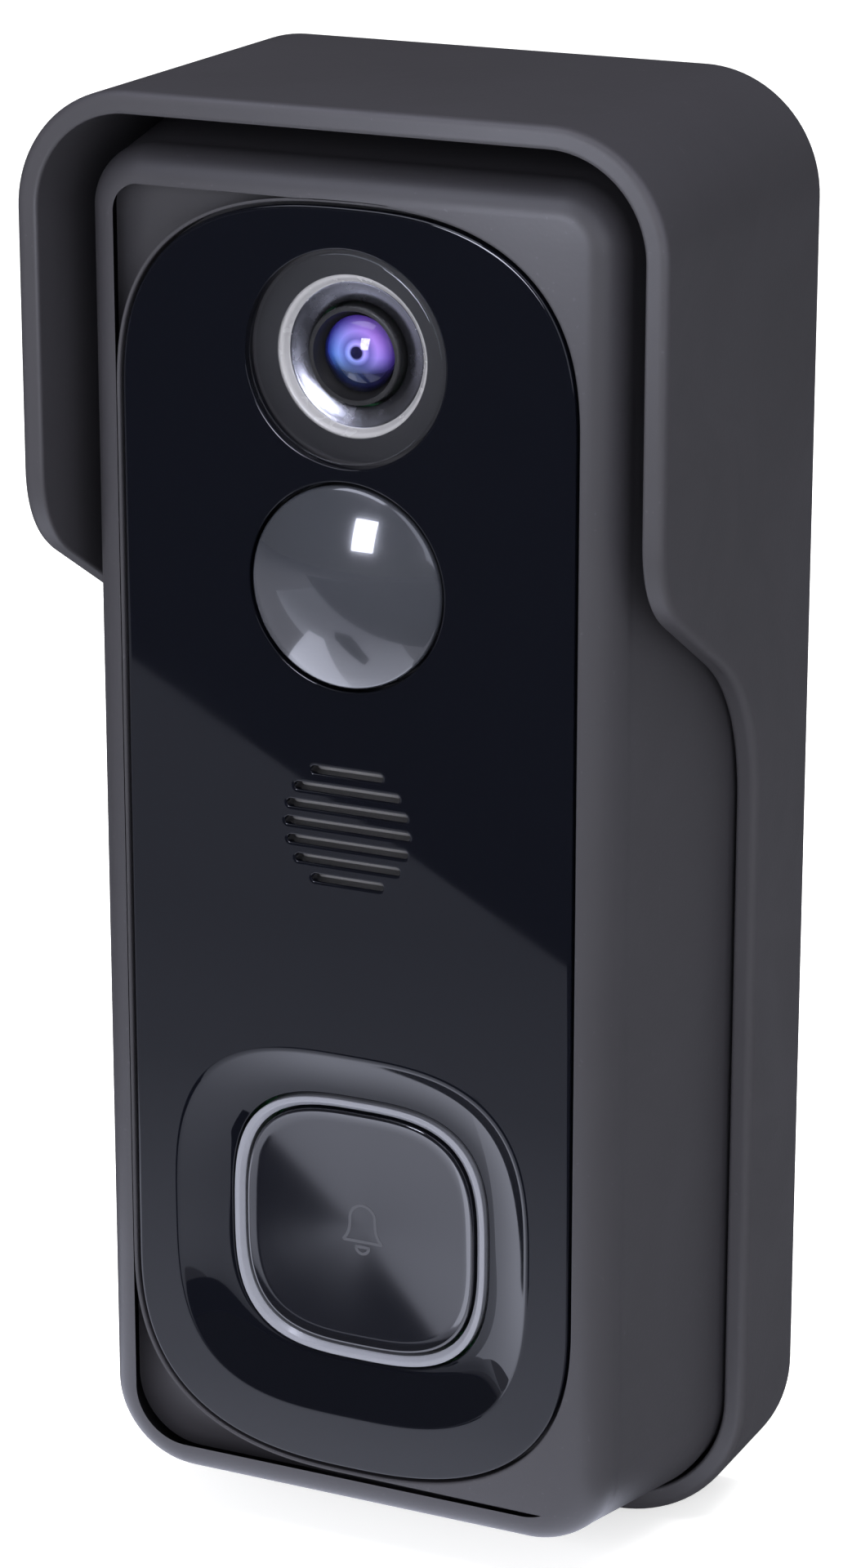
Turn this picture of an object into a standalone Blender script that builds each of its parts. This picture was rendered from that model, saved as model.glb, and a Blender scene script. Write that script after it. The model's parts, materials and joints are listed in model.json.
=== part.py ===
"""A battery video doorbell in its rain cover, one object for each piece, in metres with +Z up.

The origin is the middle of the mounting face. +X is to the right of someone facing the bell,
+Y goes into the wall and +Z is up, so the front faces -Y. "Out" is a distance in front of the
wall, so a point at out = 0.010 has y = -0.010.
"""

import math

import bmesh
import bpy
from mathutils import Matrix, Vector

# Clearances
GAP = 0.0003  # between pieces that rest on each other
COVER_FIT = 0.0004  # between the unit and the rain cover round it
RUNNING_GAP = 0.0001  # round the flap's pin and knuckle

# Unit, from the front
BODY_WIDTH = 0.0608
BODY_HEIGHT = 0.1408
BODY_TOP_RADIUS = 0.0092
BODY_BOTTOM_RADIUS = 0.0119
BODY_WALL = 0.0020
BODY_TAPER = 0.0030  # how much each side comes in from the rim to the front
FRONT_FILLET = 0.0039
PANEL_MARGIN_SIDE = 0.0071
PANEL_MARGIN_TOP = 0.0069
PANEL_MARGIN_BOTTOM = 0.0076
PANEL_END_HEIGHT = 0.0200
PANEL_CURVE = 2.6  # exponent of the superellipse at each end of the panel

# Unit, from the wall outwards
COVER_BACK = 0.0018
BRACKET_THICKNESS = 0.0021
BATTERY_COVER_THICKNESS = 0.0012
BATTERY_SEAL_THICKNESS = 0.0004
CELL_RADIUS = 0.0090
CELL_LENGTH = 0.0650
CELL_GAP = 0.0004
TUB_WALL = 0.0011
TUB_LEDGE = 0.0015
BOARD_THICKNESS = 0.0010
COMPONENT_ROOM = 0.0038
FRONT_WALL = 0.0014
PANEL_THICKNESS = 0.0016
PARTING = 0.0110  # where the front and rear housings meet

# Rain cover
COVER_WALL = 0.0022
HOOD_OVERHANG = 0.0024
RIM_DEPTH = 0.0128
RIM_REVEAL = 0.0007  # straight part of the unit's side that shows past the rim
HOOD_HEIGHT = 0.0430  # from the cover's top down to where the hood's front edge turns back
HOOD_SWEEP = 0.0149  # how much lower that edge is where it meets the rim
HOOD_BEND = 0.0061
RIM_BEND = 0.0109

# Camera
CAMERA_DROP = 0.0211  # below the unit's top
WINDOW_RADIUS = 0.0100
FUNNEL_RADIUS = 0.0079
FUNNEL_WALL = 0.0003
FUNNEL_DEPTH = 0.0012
BARREL_RADIUS = 0.0047
BARREL_LENGTH = 0.0142
BARREL_RECESS = 0.0020
SENSOR_ROOM = 0.0021
LENS_RADIUS = 0.0036
LED_CIRCLE = 0.0087
LED_SIZE = 0.0012
LED_BOARD_DROP = 0.0039

# Motion sensor
CAMERA_TO_PIR = 0.0217
PIR_RADIUS = 0.0098
PIR_RISE = 0.0030
PIR_SHELL = 0.0009
PIR_FLANGE = 0.0014
PIR_CAN_RADIUS = 0.0046

# Speaker
PIR_TO_SPEAKER = 0.0236
SPEAKER_RADIUS = 0.0090
GRILLE_RADIUS = 0.0066
GRILLE_SLOTS = 7
SLOT_WIDTH = 0.0008
SLOT_PITCH = 0.0018

# Button
BUTTON_RISE = 0.0322  # above the unit's bottom
DISH_RADIUS = 0.0189
DISH_DEPTH = 0.0024
DISH_BACK = 0.0039
DISH_WALL = 0.0012
RING_RADIUS = 0.0136
RING_WIDTH = 0.00095
RING_SETBACK = 0.0020
BUTTON_SETBACK = 0.0022
BUTTON_HOLLOW = 0.0003
BUTTON_THICKNESS = 0.0013
BUTTON_TRAVEL = 0.0005
BUTTON_CURVE = 3.1  # exponent of the superellipse round the button
BUTTON_SEAL_THICKNESS = 0.0005
STEM_RADIUS = 0.0016
STEM_PAST_SEAL = 0.0001
PLUNGER_RADIUS = 0.0012
SWITCH_SIZE = 0.0044

# Bottom of the unit: charging port, its flap, the reset button and the microphone
PORT_OUT = 0.0226
PORT_WIDTH = 0.0090
PORT_HEIGHT = 0.0032
FLAP_HALF = 0.0070
FLAP_THICKNESS = 0.0010
FLAP_BEHIND = 0.0048
FLAP_AHEAD = 0.0042
KNUCKLE_RADIUS = 0.0010
PIN_RADIUS = 0.0005
RESET_X = 0.0145
RESET_RADIUS = 0.0015
RESET_TRAVEL = 0.0004
MICROPHONE_X = -0.0145
MICROPHONE_HOLE = 0.0006

# Fixings
BOSS_RADIUS = 0.0028
BOSS_TO_WALL = 0.0014
BOSS_DROP = 0.0094  # of the upper bosses, below the unit's top
LOWER_BOSS_INSET = 0.0099  # of the lower bosses, from the unit's sides
SOCKET_WALL = 0.0019  # round a clip peg's socket
SCREW_RADIUS = 0.0012
SCREW_HEAD_RADIUS = 0.0024
SCREW_HEAD = 0.0012
PEG_RADIUS = 0.0025
PEG_LENGTH = 0.0026
UPPER_PEG_INSET = 0.0064
UPPER_PEG_RISE = 0.0150  # above the battery tub
LOWER_PEG_X = 0.0110
LOWER_PEG_DROP = 0.0040  # below the battery tub
WALL_HOLE_RADIUS = 0.0022
WALL_HOLE_SINK = 0.0042
WALL_HOLE_DROP = 0.0204
SECURITY_OUT = 0.0078
CELL_RISE = 0.0179
TERMINAL_X = 0.0060
TERMINAL_ABOVE_TUB = 0.0093
TERMINAL_DEPTH = 0.0030
CABLE_HALF = 0.0100
CABLE_RISE = 0.0055
CABLE_CORNER = 0.0025
BRACKET_INSET = 0.0030
BRACKET_DROP = 0.0044
BRACKET_CORNER = 0.0060
SPRING_ROOM = 0.0041
CONTACT_ROOM = 0.0012
CONTACT_THICKNESS = 0.0004
CONTACT_HALF = 0.0050
TUB_BLOCK = 0.0048  # solid end of the tub, which takes the battery cover's screw
TUB_FLOOR_THICKNESS = 0.0010

# Sizes that follow from those above
BODY_HALF = BODY_WIDTH / 2
BODY_TOP = BODY_HEIGHT / 2
BODY_BOTTOM = -BODY_TOP
COVER_TOP = BODY_TOP + COVER_FIT + COVER_WALL
UNIT_BACK = COVER_BACK + GAP + BRACKET_THICKNESS + GAP
LEDGE_OUT = UNIT_BACK + BATTERY_COVER_THICKNESS + BATTERY_SEAL_THICKNESS + 2 * GAP
CELL_OUT = LEDGE_OUT + GAP + CELL_RADIUS
TUB_FLOOR = CELL_OUT + CELL_RADIUS + CELL_GAP
TUB_FRONT = TUB_FLOOR + TUB_FLOOR_THICKNESS
BOARD_BACK = TUB_FRONT + GAP
BOARD_FRONT = BOARD_BACK + BOARD_THICKNESS
INNER_FRONT = BOARD_FRONT + COMPONENT_ROOM
PANEL_BACK = INNER_FRONT + FRONT_WALL + GAP
FRONT = PANEL_BACK + PANEL_THICKNESS
HOOD_DEPTH = FRONT + HOOD_OVERHANG
TAPER_START = RIM_DEPTH + RIM_REVEAL
MOUNTED = BOARD_FRONT + GAP  # where a component on the main board's front starts
PANEL_HALF = BODY_HALF - PANEL_MARGIN_SIDE
PANEL_TOP = BODY_TOP - PANEL_MARGIN_TOP
PANEL_BOTTOM = BODY_BOTTOM + PANEL_MARGIN_BOTTOM
CAMERA_Z = BODY_TOP - CAMERA_DROP
PIR_Z = CAMERA_Z - CAMERA_TO_PIR
SPEAKER_Z = PIR_Z - PIR_TO_SPEAKER
BUTTON_Z = BODY_BOTTOM + BUTTON_RISE
CELL_LOW = BODY_BOTTOM + CELL_RISE
CELL_HIGH = CELL_LOW + CELL_LENGTH
CELL_X = CELL_RADIUS + GAP / 2
TUB_HALF = 2 * CELL_RADIUS + GAP / 2 + CELL_GAP
TUB_LOW = CELL_LOW - SPRING_ROOM
TUB_HIGH = CELL_HIGH + CONTACT_ROOM
TUB_OUTER = TUB_HALF + TUB_LEDGE + TUB_WALL
TUB_OUTER_LOW = TUB_LOW - TUB_LEDGE - TUB_WALL
TUB_OUTER_HIGH = TUB_HIGH + TUB_BLOCK + TUB_WALL
TERMINAL_Z = TUB_OUTER_HIGH + TERMINAL_ABOVE_TUB
BOSS_X = BODY_HALF - BODY_WALL - BOSS_TO_WALL - BOSS_RADIUS
BOSS_Z = BODY_TOP - BOSS_DROP
LOWER_BOSS_X = BODY_HALF - LOWER_BOSS_INSET
LOWER_BOSS_Z = TUB_OUTER_LOW - 2 * GAP - BOSS_RADIUS
BARREL_FRONT = FRONT - BARREL_RECESS
CAMERA_BOARD_FRONT = BARREL_FRONT - BARREL_LENGTH - SENSOR_ROOM
HINGE_OUT = PORT_OUT - FLAP_BEHIND
UPPER_PEG_X = BODY_HALF - UPPER_PEG_INSET
UPPER_PEG_Z = TUB_OUTER_HIGH + UPPER_PEG_RISE
LOWER_PEG_Z = TUB_OUTER_LOW - LOWER_PEG_DROP
REAR_FRONT = PARTING - GAP / 2
FRONT_START = PARTING + GAP / 2
BATTERY_SCREW_Z = TUB_HIGH + TUB_BLOCK / 2
RING_INNER = RING_RADIUS - RING_WIDTH
BUTTON_RADIUS = RING_INNER - GAP
BUTTON_FRONT = FRONT - BUTTON_SETBACK
BUTTON_BACK = BUTTON_FRONT - BUTTON_THICKNESS
SEAL_FRONT = BUTTON_BACK - BUTTON_TRAVEL - GAP
SEAL_BACK = SEAL_FRONT - BUTTON_SEAL_THICKNESS
STEM_BACK = SEAL_BACK - STEM_PAST_SEAL
PLUNGER_FRONT = STEM_BACK - GAP
FAR = 0.0500  # past every face of the object, for a cutter that goes right through

FINISHES = {
    "cover_plastic": ((0.045, 0.046, 0.052), 0.50, 0.0),
    "housing_plastic": ((0.043, 0.044, 0.050), 0.46, 0.0),
    "bracket_plastic": ((0.030, 0.030, 0.033), 0.60, 0.0),
    "panel_gloss": ((0.009, 0.010, 0.014), 0.10, 0.0),
    "button_gloss": ((0.012, 0.013, 0.018), 0.16, 0.0),
    "light_guide": ((0.560, 0.580, 0.640), 0.30, 0.0),
    "window_glass": ((0.050, 0.052, 0.060), 0.05, 0.0),
    "lens_glass": ((0.060, 0.030, 0.220), 0.03, 0.0),
    "bezel_metal": ((0.420, 0.430, 0.450), 0.28, 1.0),
    "barrel_black": ((0.012, 0.012, 0.014), 0.40, 0.0),
    "sensor_dome": ((0.230, 0.240, 0.270), 0.25, 0.0),
    "can_metal": ((0.550, 0.550, 0.560), 0.30, 1.0),
    "board_green": ((0.020, 0.110, 0.050), 0.45, 0.0),
    "chip_black": ((0.018, 0.018, 0.020), 0.50, 0.0),
    "led_lens": ((0.300, 0.280, 0.340), 0.20, 0.0),
    "speaker_cone": ((0.030, 0.030, 0.034), 0.55, 0.0),
    "silicone": ((0.060, 0.060, 0.065), 0.65, 0.0),
    "antenna_film": ((0.420, 0.220, 0.050), 0.40, 0.0),
    "contact_metal": ((0.620, 0.610, 0.580), 0.25, 1.0),
    "cell_wrap": ((0.040, 0.150, 0.380), 0.35, 0.0),
    "screw_steel": ((0.450, 0.450, 0.460), 0.30, 1.0),
    "terminal_brass": ((0.600, 0.420, 0.160), 0.30, 1.0),
}

# How each axis of a flat outline, its two directions and its thickness, lies in the world
AXIS_FRAMES = {
    "X": Matrix(((0, 0, 1), (1, 0, 0), (0, 1, 0))).to_4x4(),
    "Y": Matrix(((1, 0, 0), (0, 0, -1), (0, 1, 0))).to_4x4(),
    "Z": Matrix.Identity(4),
}


def clear_scene():
    for old in list(bpy.data.objects):
        bpy.data.objects.remove(old, do_unlink=True)


def make_collection(name):
    collection = bpy.data.collections.new(name)
    bpy.context.scene.collection.children.link(collection)
    return collection


clear_scene()
PARTS = make_collection("video_doorbell")
CUTTERS = make_collection("cutters")
MATERIALS = {}


def material(finish):
    if finish not in MATERIALS:
        color, roughness, metallic = FINISHES[finish]
        made = bpy.data.materials.new(finish)
        made.use_nodes = True
        shader = made.node_tree.nodes["Principled BSDF"]
        shader.inputs["Base Color"].default_value = (*color, 1.0)
        shader.inputs["Roughness"].default_value = roughness
        shader.inputs["Metallic"].default_value = metallic
        MATERIALS[finish] = made
    return MATERIALS[finish]


# Outlines ---------------------------------------------------------------------------------


def circle(u, v, radius, steps=24):
    turns = [2 * math.pi * step / steps for step in range(steps)]
    return [(u + radius * math.cos(turn), v + radius * math.sin(turn)) for turn in turns]


def power_curve(value, exponent):
    return math.copysign(abs(value) ** (2 / exponent), value)


def superellipse(u, v, half, exponent, steps=40):
    """A rounded square whose sides bulge a little, as round a doorbell's button."""
    turns = [2 * math.pi * step / steps for step in range(steps)]
    return [
        (
            u + half * power_curve(math.cos(turn), exponent),
            v + half * power_curve(math.sin(turn), exponent),
        )
        for turn in turns
    ]


def rounded(half, low, high, low_radius, high_radius, steps=8):
    """A rectangle about u = 0 with one radius at its two low corners and one at its high ones."""
    corners = (
        (half - high_radius, high - high_radius, high_radius, 0),
        (high_radius - half, high - high_radius, high_radius, 90),
        (low_radius - half, low + low_radius, low_radius, 180),
        (half - low_radius, low + low_radius, low_radius, 270),
    )
    points = []
    for u, v, radius, start in corners:
        for step in range(steps + 1):
            turn = math.radians(start + 90 * step / steps)
            points.append((u + radius * math.cos(turn), v + radius * math.sin(turn)))
    return points


def slot(u, v, half_length, radius, steps=4):
    """A level slot with round ends."""
    points = []
    for side, start in ((1, -90), (-1, 90)):
        for step in range(steps + 1):
            turn = math.radians(start + 180 * step / steps)
            middle = u + side * (half_length - radius)
            points.append((middle + radius * math.cos(turn), v + radius * math.sin(turn)))
    return points


def body_outline(inset, steps=8):
    """The unit's outline, brought in all round by an inset."""
    return rounded(
        BODY_HALF - inset,
        BODY_BOTTOM + inset,
        BODY_TOP - inset,
        BODY_BOTTOM_RADIUS - inset,
        BODY_TOP_RADIUS - inset,
        steps,
    )


def cover_outline(inset):
    """The rain cover's outline, which runs parallel to the unit's."""
    return body_outline(inset - COVER_FIT - COVER_WALL, 10)


def panel_outline(grow=0.0, steps=26):
    """Straight sides between two half superellipses."""
    half = PANEL_HALF + grow
    rise = PANEL_END_HEIGHT + grow
    points = []
    for step in range(steps + 1):
        turn = math.pi * step / steps
        v = PANEL_TOP - PANEL_END_HEIGHT + rise * power_curve(math.sin(turn), PANEL_CURVE)
        points.append((half * power_curve(math.cos(turn), PANEL_CURVE), v))
    for step in range(steps + 1):
        turn = math.pi + math.pi * step / steps
        v = PANEL_BOTTOM + PANEL_END_HEIGHT + rise * power_curve(math.sin(turn), PANEL_CURVE)
        points.append((half * power_curve(math.cos(turn), PANEL_CURVE), v))
    return points


def bend(before, corner, after, reach, steps=6):
    """A smooth bend that leaves and meets both lines a reach away from their corner."""
    corner = Vector(corner)
    start = corner + (Vector(before) - corner).normalized() * reach
    end = corner + (Vector(after) - corner).normalized() * reach
    shares = [step / steps for step in range(steps + 1)]
    return [
        tuple((1 - t) ** 2 * start + 2 * t * (1 - t) * corner + t**2 * end) for t in shares
    ]


def hood_side():
    """The rain cover's outline from the side: a deep hood that sweeps back to a low rim."""
    top = (-HOOD_DEPTH, COVER_TOP + GAP)
    hood_corner = (-HOOD_DEPTH, COVER_TOP - HOOD_HEIGHT)
    rim_corner = (-RIM_DEPTH, hood_corner[1] - HOOD_SWEEP)
    foot = (-RIM_DEPTH, -COVER_TOP - GAP)
    edge = bend(top, hood_corner, rim_corner, HOOD_BEND)
    edge += bend(hood_corner, rim_corner, foot, RIM_BEND)
    return [top, *edge, foot, (0, foot[1]), (0, top[1])]


# Solids -----------------------------------------------------------------------------------


def add_object(name, mesh, finish=None):
    """Puts a mesh in the scene as a part, or as a hidden cutter where it has no finish."""
    piece = bpy.data.objects.new(name, mesh)
    if finish:
        PARTS.objects.link(piece)
        mesh.materials.append(material(finish))
    else:
        CUTTERS.objects.link(piece)
        piece.hide_render = True
        piece.display_type = "WIRE"
    return piece


def smooth(piece):
    piece.data.shade_smooth()
    piece.data.set_sharp_from_angle(angle=math.radians(35))


def prism(name, loops, start, end, axis="Y", finish=None):
    """A flat outline, with its holes as further loops, thick from start to end along an axis.

    Along Y, start and end are distances out from the wall.
    """
    curve = bpy.data.curves.new(name, "CURVE")
    curve.dimensions = "2D"
    curve.fill_mode = "BOTH"
    curve.extrude = abs(end - start) / 2
    for loop in loops:
        spline = curve.splines.new("POLY")
        spline.points.add(len(loop) - 1)
        for point, (u, v) in zip(spline.points, loop):
            point.co = (u, v, 0, 1)
        spline.use_cyclic_u = True
    guide = bpy.data.objects.new(name + "_outline", curve)
    bpy.context.scene.collection.objects.link(guide)
    graph = bpy.context.evaluated_depsgraph_get()
    mesh = bpy.data.meshes.new_from_object(guide.evaluated_get(graph))
    bpy.data.objects.remove(guide, do_unlink=True)
    shape = bmesh.new()
    shape.from_mesh(mesh)
    bmesh.ops.remove_doubles(shape, verts=shape.verts, dist=1e-7)
    bmesh.ops.recalc_face_normals(shape, faces=shape.faces)
    shape.to_mesh(mesh)
    shape.free()
    mesh.name = name
    mesh.materials.clear()
    piece = add_object(name, mesh, finish)
    frame = AXIS_FRAMES[axis]
    middle = frame @ Vector((0, 0, (start + end) / 2))
    piece.matrix_world = Matrix.Translation(middle) @ frame
    return piece


def box(name, low, high, finish=None):
    """A box between two corners given as x, out, z."""
    middle = (Vector(low) + Vector(high)) / 2
    sides = Vector(high) - Vector(low)
    shape = bmesh.new()
    bmesh.ops.create_cube(shape, size=1, matrix=Matrix.Diagonal((*map(abs, sides), 1)))
    mesh = bpy.data.meshes.new(name)
    shape.to_mesh(mesh)
    shape.free()
    piece = add_object(name, mesh, finish)
    piece.location = (middle.x, -middle.y, middle.z)
    return piece


def rod(name, radius, start, end, finish=None, steps=16, end_radius=None):
    """A round bar or cone between two points given as x, out, z, its radius first at start."""
    start = Vector((start[0], -start[1], start[2]))
    end = Vector((end[0], -end[1], end[2]))
    shape = bmesh.new()
    bmesh.ops.create_cone(
        shape,
        cap_ends=True,
        segments=steps,
        radius1=radius,
        radius2=radius if end_radius is None else end_radius,
        depth=(end - start).length,
    )
    mesh = bpy.data.meshes.new(name)
    shape.to_mesh(mesh)
    shape.free()
    piece = add_object(name, mesh, finish)
    piece.location = (start + end) / 2
    piece.rotation_mode = "QUATERNION"
    piece.rotation_quaternion = (end - start).to_track_quat("Z", "Y")
    smooth(piece)
    return piece


def turned(name, profile, x, z, finish=None, steps=32, closed=False):
    """A profile of (radius, out) points, run from the front backwards, turned about (x, z)."""
    mesh = bpy.data.meshes.new(name)
    points = [(radius, 0, out) for radius, out in profile]
    edges = [(index, index + 1) for index in range(len(points) - 1)]
    if closed:
        edges.append((len(points) - 1, 0))
    mesh.from_pydata(points, edges, [])
    piece = add_object(name, mesh, finish)
    piece.location = (x, 0, z)
    piece.rotation_euler = (math.pi / 2, 0, 0)
    turn = piece.modifiers.new("turn", "SCREW")
    turn.steps = steps
    turn.render_steps = steps
    turn.use_merge_vertices = True
    turn.merge_threshold = 1e-6
    return piece


def loft(name, rings, finish=None):
    """A closed skin through rings of equal count, given as lists of x, out, z."""
    shape = bmesh.new()
    rows = [[shape.verts.new((x, -out, z)) for x, out, z in ring] for ring in rings]
    count = len(rows[0])
    for row, after in zip(rows, rows[1:]):
        for index in range(count):
            follower = (index + 1) % count
            shape.faces.new((row[index], row[follower], after[follower], after[index]))
    shape.faces.new(rows[0])
    shape.faces.new(rows[-1])
    bmesh.ops.recalc_face_normals(shape, faces=shape.faces)
    mesh = bpy.data.meshes.new(name)
    shape.to_mesh(mesh)
    shape.free()
    return add_object(name, mesh, finish)


def body_inset(out):
    """How far the unit's side has come in at a distance from the wall, before the fillet."""
    run = (out - TAPER_START) / (FRONT - FRONT_FILLET - TAPER_START)
    return BODY_TAPER * min(max(run, 0.0), 1.0)


def body_loft(name, offset, start, end, finish=None):
    """The unit's outer shape, brought in by an offset, between two distances from the wall."""
    levels = [start]
    levels += [out for out in (TAPER_START,) if start < out < end]
    straight_end = FRONT - FRONT_FILLET
    if end > straight_end:
        levels.append(straight_end)
    rings = [(out, body_inset(out) + offset) for out in levels]
    if end > straight_end:
        for step in range(1, 6):
            turn = math.radians(18 * step)
            out = straight_end + FRONT_FILLET * math.sin(turn)
            if out >= end:
                break
            rings.append((out, BODY_TAPER + FRONT_FILLET * (1 - math.cos(turn)) + offset))
    if end < FRONT:
        rings.append((end, body_inset(end) + offset))
    else:
        rings.append((FRONT, BODY_TAPER + FRONT_FILLET + offset))
    return loft(
        name, [[(x, out, z) for x, z in body_outline(inset)] for out, inset in rings], finish
    )


def combine(piece, tool, operation):
    step = piece.modifiers.new(tool.name, "BOOLEAN")
    step.object = tool
    step.operation = operation
    step.solver = "EXACT"


def cut(piece, *tools):
    for tool in tools:
        combine(piece, tool, "DIFFERENCE")


def join(piece, *tools):
    for tool in tools:
        combine(piece, tool, "UNION")


def keep_inside(piece, tool):
    combine(piece, tool, "INTERSECT")


def two_pairs(upper, lower):
    """Four places as x, z: a pair to the left and right above, and another below."""
    return [(side * x, z) for x, z in (upper, lower) for side in (-1, 1)]


# Rain cover and bracket -------------------------------------------------------------------

BOSSES = two_pairs((BOSS_X, BOSS_Z), (LOWER_BOSS_X, LOWER_BOSS_Z))
PEGS = two_pairs((UPPER_PEG_X, UPPER_PEG_Z), (LOWER_PEG_X, LOWER_PEG_Z))
WALL_HOLES = [(0, BODY_TOP - WALL_HOLE_DROP), (0, WALL_HOLE_DROP - BODY_TOP)]
CABLE_HOLE = rounded(
    CABLE_HALF, TERMINAL_Z - CABLE_RISE, TERMINAL_Z + CABLE_RISE, CABLE_CORNER, CABLE_CORNER, 4
)


def open_slot(half):
    """A slot round the security screw that is open towards the front."""
    end = half - SECURITY_OUT
    return [(-half, -FAR), (half, -FAR), (half, end), (-half, end)]


def make_rain_cover():
    cover = prism("rain_cover", [hood_side()], -FAR, FAR, "X", "cover_plastic")
    keep_inside(cover, prism("cover_outline", [cover_outline(0)], -FAR, FAR))
    cavity = prism("cover_cavity", [cover_outline(COVER_WALL)], COVER_BACK, FAR + COVER_BACK)
    cable = prism("cover_cable_hole", [CABLE_HOLE], -GAP, COVER_BACK + GAP)
    cut(cover, cavity, cable)
    for index, (x, z) in enumerate(WALL_HOLES, 1):
        hole = rod(
            f"cover_wall_hole_{index}", WALL_HOLE_RADIUS, (x, -GAP, z), (x, COVER_BACK + GAP, z)
        )
        cut(cover, hole)
    floor = -COVER_TOP
    shank = SCREW_RADIUS + 0.0005
    head = SCREW_HEAD_RADIUS + 0.0004
    ledge = floor + SCREW_HEAD + GAP
    narrow = prism(
        "security_slot",
        [open_slot(shank)],
        floor - GAP,
        floor + COVER_WALL + GAP,
        "Z",
    )
    wide = prism(
        "security_recess",
        [open_slot(head)],
        floor - GAP,
        ledge,
        "Z",
    )
    cut(cover, narrow, wide)
    return cover


def make_bracket():
    back = COVER_BACK + GAP
    front = back + BRACKET_THICKNESS
    reach = BODY_TOP - BRACKET_DROP
    half = BODY_HALF - BRACKET_INSET
    outline = rounded(half, -reach, reach, BRACKET_CORNER, BRACKET_CORNER, 5)
    bracket = prism("mounting_bracket", [outline, CABLE_HOLE], back, front, "Y", "bracket_plastic")
    for index, (x, z) in enumerate(WALL_HOLES, 1):
        hole = rod(f"bracket_hole_{index}", WALL_HOLE_RADIUS, (x, 0, z), (x, front + GAP, z))
        sink = rod(
            f"bracket_sink_{index}",
            WALL_HOLE_RADIUS - GAP,
            (x, front - WALL_HOLE_SINK + WALL_HOLE_RADIUS - GAP, z),
            (x, front + GAP, z),
            end_radius=WALL_HOLE_SINK + GAP,
        )
        cut(bracket, hole, sink)
    for index, (x, z) in enumerate(PEGS, 1):
        end = front + PEG_LENGTH
        profile = (
            (0, end),
            (PEG_RADIUS - 0.0006, end),
            (PEG_RADIUS, end - 0.0007),
            (PEG_RADIUS, back + 0.0005),
            (0, back + 0.0005),
        )
        peg = turned(f"clip_peg_{index}", profile, x, z, steps=20)
        join(bracket, peg)
    return bracket


# Housings ---------------------------------------------------------------------------------

BOTTOM_AT_PORT = BODY_BOTTOM + body_inset(PORT_OUT)
HINGE_Z = BODY_BOTTOM + body_inset(HINGE_OUT) + KNUCKLE_RADIUS + RUNNING_GAP


def flap_recess():
    """The shallow seat of the port's flap, which follows the sloping bottom."""
    seat = box(
        "flap_seat",
        (-FLAP_HALF - GAP, HINGE_OUT - 0.0017, BODY_BOTTOM - FAR),
        (FLAP_HALF + GAP, PORT_OUT + FLAP_AHEAD + GAP, BOTTOM_AT_PORT + 0.0100),
    )
    cut(seat, body_loft("flap_seat_floor", FLAP_THICKNESS + GAP, FRONT_START, INNER_FRONT))
    return seat


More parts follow.
